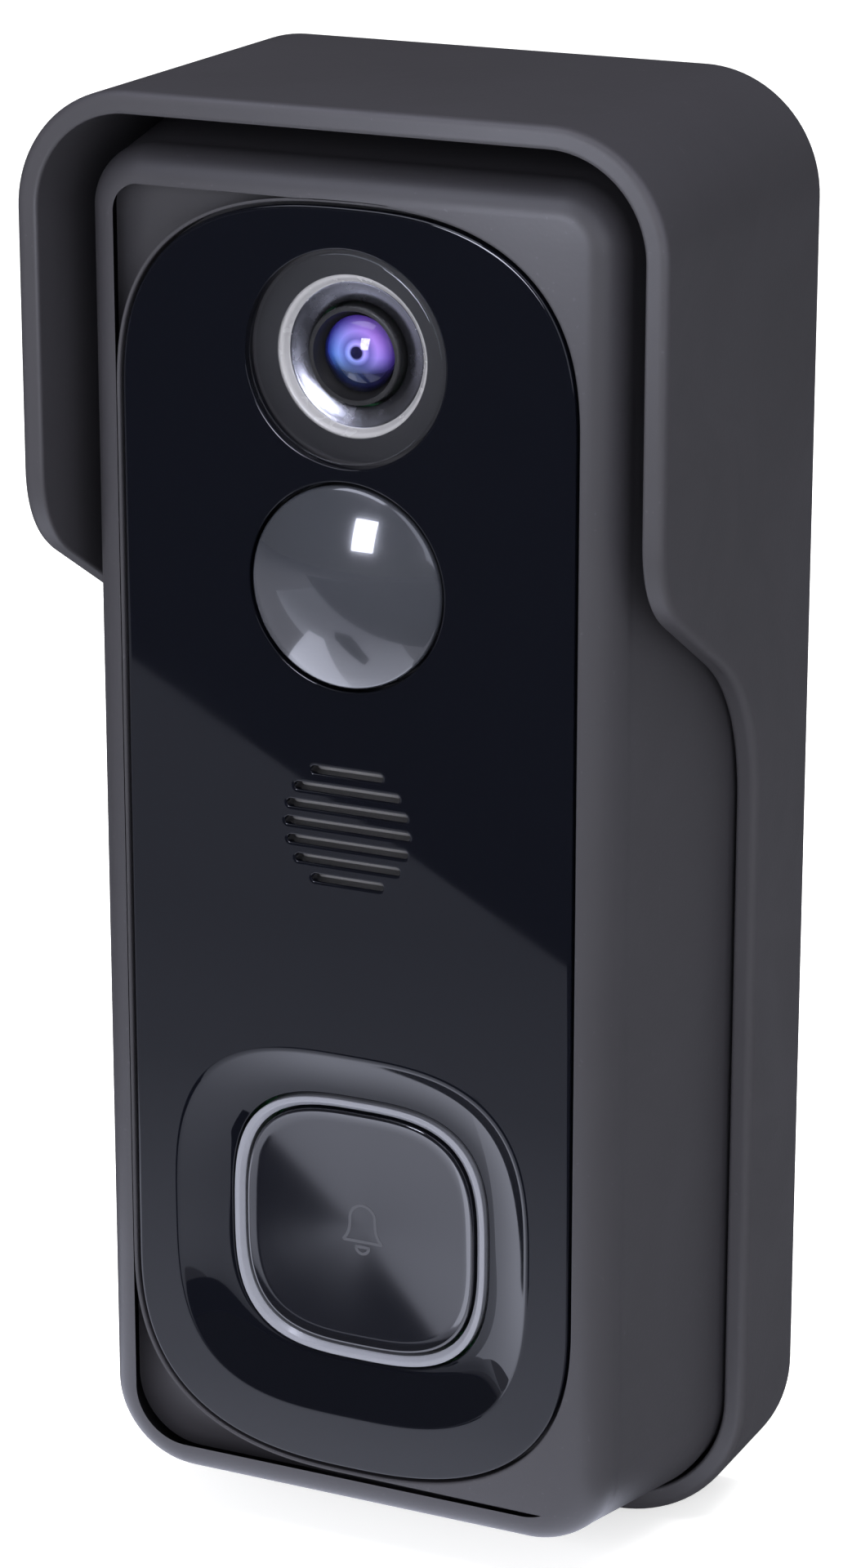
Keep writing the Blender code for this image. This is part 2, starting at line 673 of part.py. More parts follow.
def make_front_housing():
    housing = body_loft("front_housing", 0, FRONT_START, FRONT, "housing_plastic")
    cut(housing, body_loft("front_cavity", BODY_WALL, UNIT_BACK, INNER_FRONT))
    pad = box(
        "port_pad",
        (-FLAP_HALF - 0.0030, HINGE_OUT - 0.0030, BOTTOM_AT_PORT + BODY_WALL / 2),
        (FLAP_HALF + 0.0030, PORT_OUT + FLAP_AHEAD + 0.0020, BOTTOM_AT_PORT + 0.0035),
    )
    join(housing, pad)
    limit = body_loft("boss_limit", BODY_WALL / 2, UNIT_BACK, INNER_FRONT + 2 * GAP)
    for index, (x, z) in enumerate(BOSSES, 1):
        boss = rod(
            f"front_boss_{index}", BOSS_RADIUS, (x, FRONT_START, z), (x, INNER_FRONT + GAP, z)
        )
        keep_inside(boss, limit)
        join(housing, boss)
    for index, (x, z) in enumerate(BOSSES, 1):
        pilot = rod(
            f"front_pilot_{index}",
            SCREW_RADIUS + GAP,
            (x, FRONT_START - GAP, z),
            (x, FRONT_START + 0.0120, z),
            steps=16,
        )
        cut(housing, pilot)
    pocket_floor = PANEL_BACK - GAP
    pocket = prism("panel_pocket", [panel_outline(GAP)], pocket_floor, FRONT + GAP)
    rebate = prism("seal_rebate", [body_outline(BODY_WALL / 2)], UNIT_BACK, FRONT_START + 0.0010)
    dish = superellipse(0, BUTTON_Z, DISH_RADIUS + DISH_WALL + GAP, BUTTON_CURVE)
    openings = (
        ("camera_opening", circle(0, CAMERA_Z, WINDOW_RADIUS - 0.0004, 32)),
        ("pir_opening", circle(0, PIR_Z, PIR_RADIUS + GAP, 32)),
        ("speaker_opening", circle(0, SPEAKER_Z, GRILLE_RADIUS + 0.0004, 24)),
        ("dish_opening", dish),
    )
    cut(housing, pocket, rebate)
    for name, outline in openings:
        cut(housing, prism(name, [outline], INNER_FRONT - GAP, FRONT + GAP))
    port = box(
        "port_opening",
        (-PORT_WIDTH / 2 - GAP, PORT_OUT - PORT_HEIGHT / 2 - GAP, BODY_BOTTOM - GAP),
        (PORT_WIDTH / 2 + GAP, PORT_OUT + PORT_HEIGHT / 2 + GAP, BOTTOM_AT_PORT + 0.0060),
    )
    knuckle_room = rod(
        "knuckle_room",
        KNUCKLE_RADIUS + GAP,
        (-FLAP_HALF - GAP, HINGE_OUT, HINGE_Z),
        (FLAP_HALF + GAP, HINGE_OUT, HINGE_Z),
    )
    pin_holes = rod(
        "pin_holes",
        PIN_RADIUS + RUNNING_GAP,
        (-FLAP_HALF - 0.0020, HINGE_OUT, HINGE_Z),
        (FLAP_HALF + 0.0020, HINGE_OUT, HINGE_Z),
        steps=16,
    )
    reset_hole = rod(
        "reset_hole",
        RESET_RADIUS + GAP,
        (RESET_X, PORT_OUT, BODY_BOTTOM - GAP),
        (RESET_X, PORT_OUT, BOTTOM_AT_PORT + BODY_WALL + 0.0010),
    )
    sound_hole = rod(
        "microphone_hole",
        MICROPHONE_HOLE,
        (MICROPHONE_X, PORT_OUT, BODY_BOTTOM - GAP),
        (MICROPHONE_X, PORT_OUT, BOTTOM_AT_PORT + BODY_WALL + 0.0010),
        steps=12,
    )
    cut(housing, flap_recess(), port, knuckle_room, pin_holes, reset_hole, sound_hole)
    return housing


def make_rear_housing():
    chamfer = 0.0008
    rings = ((UNIT_BACK, chamfer), (UNIT_BACK + chamfer, 0), (REAR_FRONT, 0))
    shell = loft(
        "rear_housing",
        [[(x, out, z) for x, z in body_outline(inset)] for out, inset in rings],
        "housing_plastic",
    )
    wall_in = UNIT_BACK + BODY_WALL
    cut(shell, prism("rear_cavity", [body_outline(BODY_WALL)], wall_in, REAR_FRONT + GAP))
    tub = prism(
        "battery_tub",
        [rounded(TUB_OUTER, TUB_OUTER_LOW, TUB_OUTER_HIGH, 0.0020, 0.0020, 4)],
        UNIT_BACK + GAP,
        TUB_FRONT,
    )
    join(shell, tub)
    for index, (x, z) in enumerate(BOSSES, 1):
        boss = rod(
            f"rear_boss_{index}",
            BOSS_RADIUS + 0.0005,
            (x, wall_in - GAP, z),
            (x, REAR_FRONT - GAP, z),
        )
        join(shell, boss)
    for index, (x, z) in enumerate(PEGS, 1):
        boss = rod(
            f"socket_boss_{index}",
            PEG_RADIUS + SOCKET_WALL,
            (x, wall_in - GAP, z),
            (x, wall_in + 0.0023, z),
        )
        join(shell, boss)
    terminal_block = box(
        "terminal_block",
        (-CABLE_HALF - 0.0030, wall_in - GAP, TERMINAL_Z - CABLE_RISE - 0.0015),
        (CABLE_HALF + 0.0030, wall_in + TERMINAL_DEPTH, TERMINAL_Z + CABLE_RISE + 0.0015),
    )
    security_block = box(
        "security_block",
        (-0.0040, UNIT_BACK + 0.0010, BODY_BOTTOM + BODY_WALL / 2),
        (0.0040, REAR_FRONT - GAP, BODY_BOTTOM + 0.0064),
    )
    join(shell, terminal_block, security_block)
    opening = rounded(
        TUB_HALF + TUB_LEDGE, TUB_LOW - TUB_LEDGE, TUB_HIGH + TUB_BLOCK, 0.0015, 0.0015, 4
    )
    inside = rounded(TUB_HALF, TUB_LOW, TUB_HIGH, 0.0010, 0.0010, 3)
    cut(
        shell,
        prism("battery_opening", [opening], UNIT_BACK - GAP, LEDGE_OUT),
        prism("battery_room", [inside], UNIT_BACK, TUB_FLOOR),
        prism(
            "terminal_pocket",
            [rounded(CABLE_HALF, TERMINAL_Z - CABLE_RISE, TERMINAL_Z + CABLE_RISE, 0.001, 0.001, 3)],
            UNIT_BACK - GAP,
            UNIT_BACK + TERMINAL_DEPTH,
        ),
        rod(
            "security_bore",
            SCREW_RADIUS + GAP,
            (0, SECURITY_OUT, BODY_BOTTOM - GAP),
            (0, SECURITY_OUT, BODY_BOTTOM + 0.0055),
        ),
        rod(
            "cover_screw_bore",
            SCREW_RADIUS + GAP,
            (0, UNIT_BACK, BATTERY_SCREW_Z),
            (0, LEDGE_OUT + 0.0080, BATTERY_SCREW_Z),
            steps=16,
        ),
    )
    for index, (x, z) in enumerate(PEGS, 1):
        socket = rod(
            f"clip_socket_{index}",
            PEG_RADIUS + GAP,
            (x, UNIT_BACK - GAP, z),
            (x, UNIT_BACK + PEG_LENGTH, z),
        )
        cut(shell, socket)
    for index, (x, z) in enumerate(BOSSES, 1):
        bore = rod(
            f"rear_bore_{index}",
            SCREW_RADIUS + GAP,
            (x, UNIT_BACK, z),
            (x, REAR_FRONT + GAP, z),
            steps=16,
        )
        sink = rod(
            f"rear_sink_{index}",
            SCREW_HEAD_RADIUS + GAP,
            (x, UNIT_BACK - GAP, z),
            (x, UNIT_BACK + SCREW_HEAD + 2 * GAP, z),
        )
        cut(shell, bore, sink)
    for index, side in enumerate((-1, 1), 1):
        hole = rod(
            f"terminal_bore_{index}",
            0.0017,
            (side * TERMINAL_X, UNIT_BACK, TERMINAL_Z),
            (side * TERMINAL_X, UNIT_BACK + 0.0070, TERMINAL_Z),
            steps=16,
        )
        cut(shell, hole)
    return shell


def make_housing_seal():
    outer = BODY_WALL / 2 + GAP / 2
    loops = [body_outline(outer, 6), body_outline(outer + 0.0007, 6)]
    return prism("housing_seal", loops, FRONT_START, FRONT_START + 0.0007, "Y", "silicone")


# Front panel and button -------------------------------------------------------------------


def dish_rings():
    """The dish falls quickly at its edge and levels out towards the light ring."""
    rings = [(DISH_RADIUS + 0.0006, FRONT + 0.0005)]
    inner = RING_RADIUS + GAP
    for step in range(7):
        share = step / 6
        half = DISH_RADIUS + (inner - DISH_RADIUS) * share
        out = FRONT - DISH_DEPTH * math.sin(share * math.radians(75)) / math.sin(math.radians(75))
        rings.append((half, out))
    rings.append((inner, FRONT - DISH_BACK - GAP))
    return [
        [(x, out, z) for x, z in superellipse(0, BUTTON_Z, half, BUTTON_CURVE)]
        for half, out in rings
    ]


def grille_slots():
    """Level slots that fill a circle."""
    loops = []
    for row in range(GRILLE_SLOTS):
        rise = (row - (GRILLE_SLOTS - 1) / 2) * SLOT_PITCH
        half_length = math.sqrt(GRILLE_RADIUS**2 - rise**2)
        loops.append(slot(0, SPEAKER_Z + rise, half_length, SLOT_WIDTH / 2))
    return loops


def make_front_panel():
    loops = [panel_outline()]
    loops.append(circle(0, CAMERA_Z, WINDOW_RADIUS + GAP, 40))
    loops.append(circle(0, PIR_Z, PIR_RADIUS + GAP, 40))
    loops += grille_slots()
    panel = prism("front_panel", loops, PANEL_BACK, FRONT, "Y", "panel_gloss")
    bowl = superellipse(0, BUTTON_Z, DISH_RADIUS + DISH_WALL, BUTTON_CURVE)
    join(panel, prism("dish_body", [bowl], FRONT - DISH_BACK, PANEL_BACK + PANEL_THICKNESS / 2))
    cut(panel, loft("dish_hollow", dish_rings()))
    return panel


def make_light_ring():
    outer = superellipse(0, BUTTON_Z, RING_RADIUS, BUTTON_CURVE)
    inner = superellipse(0, BUTTON_Z, RING_INNER, BUTTON_CURVE)
    back = MOUNTED + 0.0005 + GAP
    return prism("light_ring", [outer, inner], back, FRONT - RING_SETBACK, "Y", "light_guide")


def make_ring_leds():
    middle = (RING_RADIUS + RING_INNER) / 2
    for index, (x, z) in enumerate(((0, 1), (1, 0), (0, -1), (-1, 0)), 1):
        centre = Vector((x * middle, MOUNTED + 0.00025, BUTTON_Z + z * middle))
        half = Vector((0.0008 if z else 0.00045, 0.00025, 0.00045 if z else 0.0008))
        box(f"ring_led_{index}", centre - half, centre + half, "led_lens")


def make_button_cap():
    """A gently hollow cap on a short stem, with its origin on the line that it moves along."""
    rings = []
    for share, sink in ((0.35, 0.85), (0.7, 0.45), (0.93, 0.06), (1.0, -0.10)):
        rings.append((BUTTON_RADIUS * share, BUTTON_FRONT - BUTTON_HOLLOW * sink - 0.00005))
    rings.append((BUTTON_RADIUS, BUTTON_BACK))
    cap = loft(
        "button_cap",
        [
            [(x, out, z) for x, z in superellipse(0, BUTTON_Z, half, BUTTON_CURVE)]
            for half, out in rings
        ],
        "button_gloss",
    )
    stem = rod(
        "button_stem", STEM_RADIUS, (0, STEM_BACK, BUTTON_Z), (0, BUTTON_BACK + GAP, BUTTON_Z)
    )
    join(cap, stem)
    return cap


def make_button_works():
    seal = superellipse(0, BUTTON_Z, BUTTON_RADIUS, BUTTON_CURVE, 32)
    hole = circle(0, BUTTON_Z, STEM_RADIUS + GAP, 20)
    prism("button_seal", [seal, hole], SEAL_BACK, SEAL_FRONT, "Y", "silicone")
    half = SWITCH_SIZE / 2
    body = rounded(half, BUTTON_Z - half, BUTTON_Z + half, 0.0004, 0.0004, 2)
    bore = circle(0, BUTTON_Z, PLUNGER_RADIUS + GAP, 20)
    prism("button_switch", [body, bore], MOUNTED, PLUNGER_FRONT - 0.0004, "Y", "chip_black")
    profile = (
        (0, PLUNGER_FRONT),
        (PLUNGER_RADIUS - 0.0002, PLUNGER_FRONT),
        (PLUNGER_RADIUS, PLUNGER_FRONT - 0.0002),
        (PLUNGER_RADIUS, PLUNGER_FRONT - 0.0009),
        (0, PLUNGER_FRONT - 0.0009),
    )
    return turned("switch_plunger", profile, 0, BUTTON_Z, "silicone", 20)


# Camera -----------------------------------------------------------------------------------


def make_camera():
    profile = (
        (0, FRONT),
        (WINDOW_RADIUS - 0.0002, FRONT),
        (WINDOW_RADIUS, FRONT - 0.0002),
        (WINDOW_RADIUS, PANEL_BACK),
        (0, PANEL_BACK),
    )
    turned("camera_window", profile, 0, CAMERA_Z, "window_glass", 40)
    wide = PANEL_BACK - GAP
    narrow = wide - FUNNEL_DEPTH
    throat = BARREL_RADIUS + GAP
    funnel = (
        (FUNNEL_RADIUS, wide),
        (FUNNEL_RADIUS, wide - 0.0007),
        (throat + 2 * FUNNEL_WALL, narrow),
        (throat, narrow),
        (throat, narrow + 0.0004),
        (FUNNEL_RADIUS - FUNNEL_WALL, wide),
    )
    turned("camera_bezel", funnel, 0, CAMERA_Z, "bezel_metal", 40, closed=True)
    make_lens()
    led_board_front = PANEL_BACK - LED_BOARD_DROP
    loops = [
        circle(0, CAMERA_Z, WINDOW_RADIUS, 32),
        circle(0, CAMERA_Z, BARREL_RADIUS + 0.0005, 24),
    ]
    prism("ir_led_board", loops, led_board_front - 0.0008, led_board_front, "Y", "board_green")
    half = LED_SIZE / 2
    base = led_board_front + GAP
    places = [("ir_led_1", 45), ("ir_led_2", 135), ("ir_led_3", 225), ("ir_led_4", 315)]
    places.append(("light_sensor", 90))
    for name, degrees in places:
        turn = math.radians(degrees)
        x = LED_CIRCLE * math.cos(turn)
        z = CAMERA_Z + LED_CIRCLE * math.sin(turn)
        tall = 0.0007 if name == "light_sensor" else LED_SIZE
        low = (x - half, base, z - half)
        high = (x + half, base + tall, z + half)
        box(name, low, high, "led_lens")


def make_lens():
    """The lens barrel in its square holder, with the sensor on a board behind it."""
    recess = LENS_RADIUS + GAP
    barrel_back = BARREL_FRONT - BARREL_LENGTH
    barrel = (
        (BARREL_RADIUS, BARREL_FRONT - 0.0002),
        (BARREL_RADIUS, barrel_back),
        (0.0030, barrel_back),
        (0.0020, BARREL_FRONT - 0.0030),
        (recess - 0.0006, BARREL_FRONT - 0.0024),
        (recess, BARREL_FRONT - 0.0012),
        (recess + 0.0003, BARREL_FRONT),
        (BARREL_RADIUS - 0.0002, BARREL_FRONT),
    )
    turned("lens_barrel", barrel, 0, CAMERA_Z, "barrel_black", 32, closed=True)
    dome = [(0, BARREL_FRONT - 0.0001)]
    for step in range(1, 6):
        share = step / 5
        dome.append((LENS_RADIUS * share, BARREL_FRONT - 0.0001 - 0.0012 * share**2))
    dome += [(LENS_RADIUS - 0.0005, BARREL_FRONT - 0.0021), (0, BARREL_FRONT - 0.0021)]
    turned("lens_element", dome, 0, CAMERA_Z, "lens_glass", 32)
    half = 0.0060
    block = rounded(half, CAMERA_Z - half, CAMERA_Z + half, 0.0010, 0.0010, 3)
    bore = circle(0, CAMERA_Z, BARREL_RADIUS + GAP, 32)
    holder_back = CAMERA_BOARD_FRONT + GAP
    prism("lens_holder", [block, bore], holder_back, holder_back + 0.0060, "Y", "barrel_black")
    half = 0.0075
    board = rounded(half, CAMERA_Z - half, CAMERA_Z + half, 0.0010, 0.0010, 3)
    prism(
        "camera_board", [board], CAMERA_BOARD_FRONT - 0.0008, CAMERA_BOARD_FRONT, "Y", "board_green"
    )
    low = (-0.0028, holder_back, CAMERA_Z - 0.0023)
    high = (0.0028, holder_back + 0.0009, CAMERA_Z + 0.0023)
    box("image_sensor", low, high, "chip_black")


# Motion sensor and sound ------------------------------------------------------------------


def dome_arc(rise, radius, edge_out, steps=5):
    """Points of a spherical cap's profile from its middle to its edge."""
    sphere = (radius**2 + rise**2) / (2 * rise)
    reach = math.asin(radius / sphere)
    turns = [reach * step / steps for step in range(steps + 1)]
    return [(sphere * math.sin(t), edge_out + rise - sphere * (1 - math.cos(t))) for t in turns]


def make_motion_sensor():
    flange_front = INNER_FRONT - GAP
    flange_back = flange_front - 0.0008
    inner = PIR_RADIUS - PIR_SHELL
    profile = dome_arc(PIR_RISE, PIR_RADIUS, FRONT)
    profile += [
        (PIR_RADIUS, flange_front),
        (PIR_RADIUS + PIR_FLANGE, flange_front),
        (PIR_RADIUS + PIR_FLANGE, flange_back),
        (inner, flange_back),
    ]
    profile += reversed(dome_arc(PIR_RISE - 0.0004, inner, FRONT - 0.0005))
    turned("pir_dome", profile, 0, PIR_Z, "sensor_dome", 36)
    can = (
        (0, MOUNTED + 0.0022),
        (PIR_CAN_RADIUS - 0.0004, MOUNTED + 0.0022),
        (PIR_CAN_RADIUS - 0.0002, MOUNTED + 0.0020),
        (PIR_CAN_RADIUS - 0.0002, MOUNTED + 0.0004),
        (PIR_CAN_RADIUS, MOUNTED + 0.0004),
        (PIR_CAN_RADIUS, MOUNTED),
        (0, MOUNTED),
    )
    turned("pir_sensor", can, 0, PIR_Z, "can_metal", 32)


def make_sound():
    gasket_front = INNER_FRONT - GAP
    ring = [circle(0, SPEAKER_Z, SPEAKER_RADIUS), circle(0, SPEAKER_Z, SPEAKER_RADIUS - 0.0016)]
    prism("speaker_gasket", ring, gasket_front - 0.0005, gasket_front, "Y", "silicone")
    top = gasket_front - 0.0005 - GAP
    speaker = (
        (0, top - 0.0004),
        (0.0030, top - 0.0004),
        (0.0055, top - 0.0009),
        (SPEAKER_RADIUS - 0.0018, top - 0.0002),
        (SPEAKER_RADIUS - 0.0014, top),
        (SPEAKER_RADIUS, top),
        (SPEAKER_RADIUS, top - 0.0010),
        (SPEAKER_RADIUS - 0.0010, top - 0.0012),
        (SPEAKER_RADIUS - 0.0010, MOUNTED),
        (0, MOUNTED),
    )
    turned("speaker", speaker, 0, SPEAKER_Z, "speaker_cone", 32)
    low = (MICROPHONE_X - 0.0015, PORT_OUT - 0.0011, BOTTOM_AT_PORT + BODY_WALL + 0.0008)
    high = (MICROPHONE_X + 0.0015, PORT_OUT + 0.0011, BOTTOM_AT_PORT + BODY_WALL + 0.0020)
    box("microphone", low, high, "can_metal")


# Electronics ------------------------------------------------------------------------------


def make_boards():
    inset = BODY_WALL + body_inset(BOARD_FRONT) + 0.0015
    outline = body_outline(inset, 5)
    hole = circle(0, CAMERA_Z, BARREL_RADIUS + 0.0009, 28)
    board = prism("main_board", [outline, hole], BOARD_BACK, BOARD_FRONT, "Y", "board_green")
    for index, (x, z) in enumerate(BOSSES, 1):
        notch = rod(
            f"board_notch_{index}",
            BOSS_RADIUS + 0.0005,
            (x, BOARD_BACK - GAP, z),
            (x, BOARD_FRONT + GAP, z),
        )
        cut(board, notch)
    shield_low = TUB_OUTER_HIGH + 0.0024
    front = BOARD_BACK - GAP
    low = (-0.0140, front - 0.0022, shield_low)
    high = (0.0140, front, shield_low + 0.0150)
    box("rf_shield", low, high, "can_metal")
    antenna_high = BOSS_Z - BOSS_RADIUS - 0.0010
    low = (-0.0220, front - 0.0008, antenna_high - 0.0170)
    high = (-0.0140, front, antenna_high)
    box("wifi_antenna", low, high, "antenna_film")
    half = RESET_X + 0.0025
    back = PORT_OUT + PORT_HEIGHT / 2 + GAP
    low = (-half, back, BOTTOM_AT_PORT + 0.0040)
    high = (half, back + 0.0008, BOTTOM_AT_PORT + 0.0090)
    box("port_board", low, high, "board_green")


def make_usb_socket():
    low = Vector((-PORT_WIDTH / 2, PORT_OUT - PORT_HEIGHT / 2, BOTTOM_AT_PORT + 0.0022))
    high = Vector((PORT_WIDTH / 2, PORT_OUT + PORT_HEIGHT / 2, BOTTOM_AT_PORT + 0.0095))
    shell = box("usb_socket", low, high, "can_metal")
    wall = Vector((0.0003, 0.0003, -GAP))
    mouth = box("usb_mouth", low + wall, high - Vector((0.0003, 0.0003, 0.0010)))
    tongue_low = (-PORT_WIDTH / 2 + 0.0012, PORT_OUT - 0.0004, BOTTOM_AT_PORT + 0.0030)
    tongue_high = (PORT_WIDTH / 2 - 0.0012, PORT_OUT + 0.0004, BOTTOM_AT_PORT + 0.0090)
    cut(shell, mouth)
    join(shell, box("usb_tongue", tongue_low, tongue_high))
    return shell


def make_flap():
    flap = box(
        "usb_flap",
        (-FLAP_HALF, HINGE_OUT, BODY_BOTTOM - GAP),
        (FLAP_HALF, PORT_OUT + FLAP_AHEAD, BOTTOM_AT_PORT + 0.0060),
        "silicone",
    )
    keep_inside(flap, body_loft("flap_outer", 0, FRONT_START, INNER_FRONT))
    cut(flap, body_loft("flap_inner", FLAP_THICKNESS, FRONT_START - GAP, INNER_FRONT + GAP))
    knuckle = rod(
        "flap_knuckle",
        KNUCKLE_RADIUS,
        (-FLAP_HALF, HINGE_OUT, HINGE_Z),
        (FLAP_HALF, HINGE_OUT, HINGE_Z),
    )
    bore = rod(
        "flap_bore",
        PIN_RADIUS + RUNNING_GAP,
        (-FLAP_HALF - GAP, HINGE_OUT, HINGE_Z),
        (FLAP_HALF + GAP, HINGE_OUT, HINGE_Z),
        steps=16,
    )
    join(flap, knuckle)
    cut(flap, bore)
    rod(
        "flap_pin",
        PIN_RADIUS,
        (-FLAP_HALF - 0.0018, HINGE_OUT, HINGE_Z),
        (FLAP_HALF + 0.0018, HINGE_OUT, HINGE_Z),
        finish="screw_steel",
        steps=16,
    )
    return flap


def make_reset_button():
    face = BOTTOM_AT_PORT + 0.0003
    seat = BOTTOM_AT_PORT + BODY_WALL + body_inset(PORT_OUT + 0.0023) - body_inset(PORT_OUT) + GAP
    button = rod(
        "reset_button",
        RESET_RADIUS,
        (RESET_X, PORT_OUT, face),
        (RESET_X, PORT_OUT, seat + 0.0034),
        finish="silicone",
        steps=20,
    )
    flange = rod(
        "reset_flange",
        RESET_RADIUS + 0.0008,
        (RESET_X, PORT_OUT, seat),
        (RESET_X, PORT_OUT, seat + 0.0006),
        steps=20,
    )
    join(button, flange)
    low = (RESET_X - 0.0020, PORT_OUT - PORT_HEIGHT / 2, seat + 0.0034 + RESET_TRAVEL + 0.0001)
    high = (RESET_X + 0.0020, PORT_OUT + PORT_HEIGHT / 2, seat + 0.0034 + RESET_TRAVEL + 0.0024)
    box("reset_switch", low, high, "chip_black")
    return button


# Battery ----------------------------------------------------------------------------------


def coil(name, x, low, high, finish):
    """A short cylindrical spring, its turns worked out as a helix."""
    turns, per_turn, radius, wire = 3, 10, 0.0032, 0.0003
    count = turns * per_turn
    curve = bpy.data.curves.new(name, "CURVE")
    curve.dimensions = "3D"
    curve.bevel_depth = wire
    curve.bevel_resolution = 1
    curve.use_fill_caps = True
    spline = curve.splines.new("POLY")
    spline.points.add(count)
    for index, point in enumerate(spline.points):
        turn = 2 * math.pi * index / per_turn
        rise = low + wire + (high - low - 2 * wire) * index / count
        point.co = (x + radius * math.cos(turn), -CELL_OUT + radius * math.sin(turn), rise, 1)
    curve.materials.append(material(finish))
    spring = bpy.data.objects.new(name, curve)
    PARTS.objects.link(spring)
    return spring


def make_battery():
    for index, side in enumerate((-1, 1), 1):
        x = side * CELL_X
        cell = rod(
            f"battery_cell_{index}",
            CELL_RADIUS,
            (x, CELL_OUT, CELL_LOW),
            (x, CELL_OUT, CELL_HIGH - 0.0008),
            finish="cell_wrap",
            steps=36,
        )
        button = rod(
            f"cell_button_{index}",
            0.0030,
            (x, CELL_OUT, CELL_HIGH - 0.0010),
            (x, CELL_OUT, CELL_HIGH),
        )
        join(cell, button)
        coil(f"battery_spring_{index}", x, TUB_LOW + GAP, CELL_LOW - GAP, "contact_metal")
        back = CELL_HIGH + GAP
        low = (x - CONTACT_HALF, CELL_OUT - CONTACT_HALF, back)
        high = (x + CONTACT_HALF, CELL_OUT + CONTACT_HALF, back + CONTACT_THICKNESS)
        box(f"battery_contact_{index}", low, high, "contact_metal")
    half = TUB_HALF + TUB_LEDGE - GAP
    low = TUB_LOW - TUB_LEDGE + GAP
    high = TUB_HIGH + TUB_BLOCK - GAP
    screw_hole = circle(0, BATTERY_SCREW_Z, SCREW_RADIUS + GAP, 16)
    plate = prism(
        "battery_cover",
        [rounded(half, low, high, 0.0012, 0.0012, 4), screw_hole],
        UNIT_BACK,
        UNIT_BACK + BATTERY_COVER_THICKNESS,
        "Y",
        "housing_plastic",
    )
    sink = rod(
        "battery_screw_sink",
        SCREW_HEAD_RADIUS + GAP,
        (0, UNIT_BACK - GAP, BATTERY_SCREW_Z),
        (0, UNIT_BACK + 0.0008, BATTERY_SCREW_Z),
    )
    cut(plate, sink)
    seal_back = UNIT_BACK + BATTERY_COVER_THICKNESS + GAP
    high = TUB_HIGH + TUB_LEDGE - GAP
    wide = 0.0009
    ring = [
        rounded(half, low, high, 0.0012, 0.0012, 4),
        rounded(half - wide, low + wide, high - wide, 0.0006, 0.0006, 4),
    ]
    prism("battery_seal", ring, seal_back, seal_back + BATTERY_SEAL_THICKNESS, "Y", "silicone")


# Screws -----------------------------------------------------------------------------------


def screw(name, tip, head_end, way, head_radius=SCREW_HEAD_RADIUS, finish="screw_steel"):
    """A round-headed screw with a cross recess; way runs from its head to its tip."""
    way = Vector(way)
    head_end = Vector(head_end)
    under_head = head_end + way * SCREW_HEAD
    shank = rod(name, SCREW_RADIUS, under_head - way * GAP, tip, finish=finish, steps=16)
    head = rod(name + "_head", head_radius, head_end, under_head, steps=20)
    join(shank, head)
    across = (0.0018, 0.0005)
    for index, (wide, thin) in enumerate((across, across[::-1]), 1):
        half = Vector((wide, 0.0006, thin)) if abs(way.y) > 0.5 else Vector((wide, thin, 0.0006))
        cut(shank, box(f"{name}_recess_{index}", head_end - half, head_end + half))
    return shank


def make_screws():
    for index, (x, z) in enumerate(BOSSES, 1):
        screw(
            f"housing_screw_{index}",
            (x, FRONT_START + 0.0110, z),
            (x, UNIT_BACK + GAP, z),
            (0, 1, 0),
        )
    for index, side in enumerate((-1, 1), 1):
        x = side * TERMINAL_X
        screw(
            f"terminal_screw_{index}",
            (x, UNIT_BACK + 0.0065, TERMINAL_Z),
            (x, UNIT_BACK + 0.0008, TERMINAL_Z),
            (0, 1, 0),
            finish="terminal_brass",
        )
    screw(
        "security_screw",
        (0, SECURITY_OUT, BODY_BOTTOM + 0.0050),
        (0, SECURITY_OUT, -COVER_TOP + 0.0001),
        (0, 0, 1),
    )
    head = UNIT_BACK + 0.0001
    pan = rod(
        "battery_cover_screw",
        SCREW_HEAD_RADIUS,
        (0, head, BATTERY_SCREW_Z),
        (0, head + 0.0005, BATTERY_SCREW_Z),
        finish="screw_steel",
    )
    shank = rod(
        "battery_screw_shank",
        SCREW_RADIUS,
        (0, head + 0.0003, BATTERY_SCREW_Z),
        (0, LEDGE_OUT + 0.0070, BATTERY_SCREW_Z),
        steps=16,
    )
    join(pan, shank)


# Assembly ---------------------------------------------------------------------------------


def hang_on(name, place, pieces):
    """Parents pieces to an empty on their joint's axis, leaving them where they are."""
    pivot = bpy.data.objects.new(name, None)
    pivot.location = (place[0], -place[1], place[2])
    pivot.empty_display_size = 0.005
    PARTS.objects.link(pivot)
    bpy.context.view_layer.update()
    for piece in pieces:
        placed = piece.matrix_world.copy()
        piece.parent = pivot
        piece.matrix_parent_inverse = pivot.matrix_world.inverted()
        piece.matrix_world = placed
    return pivot


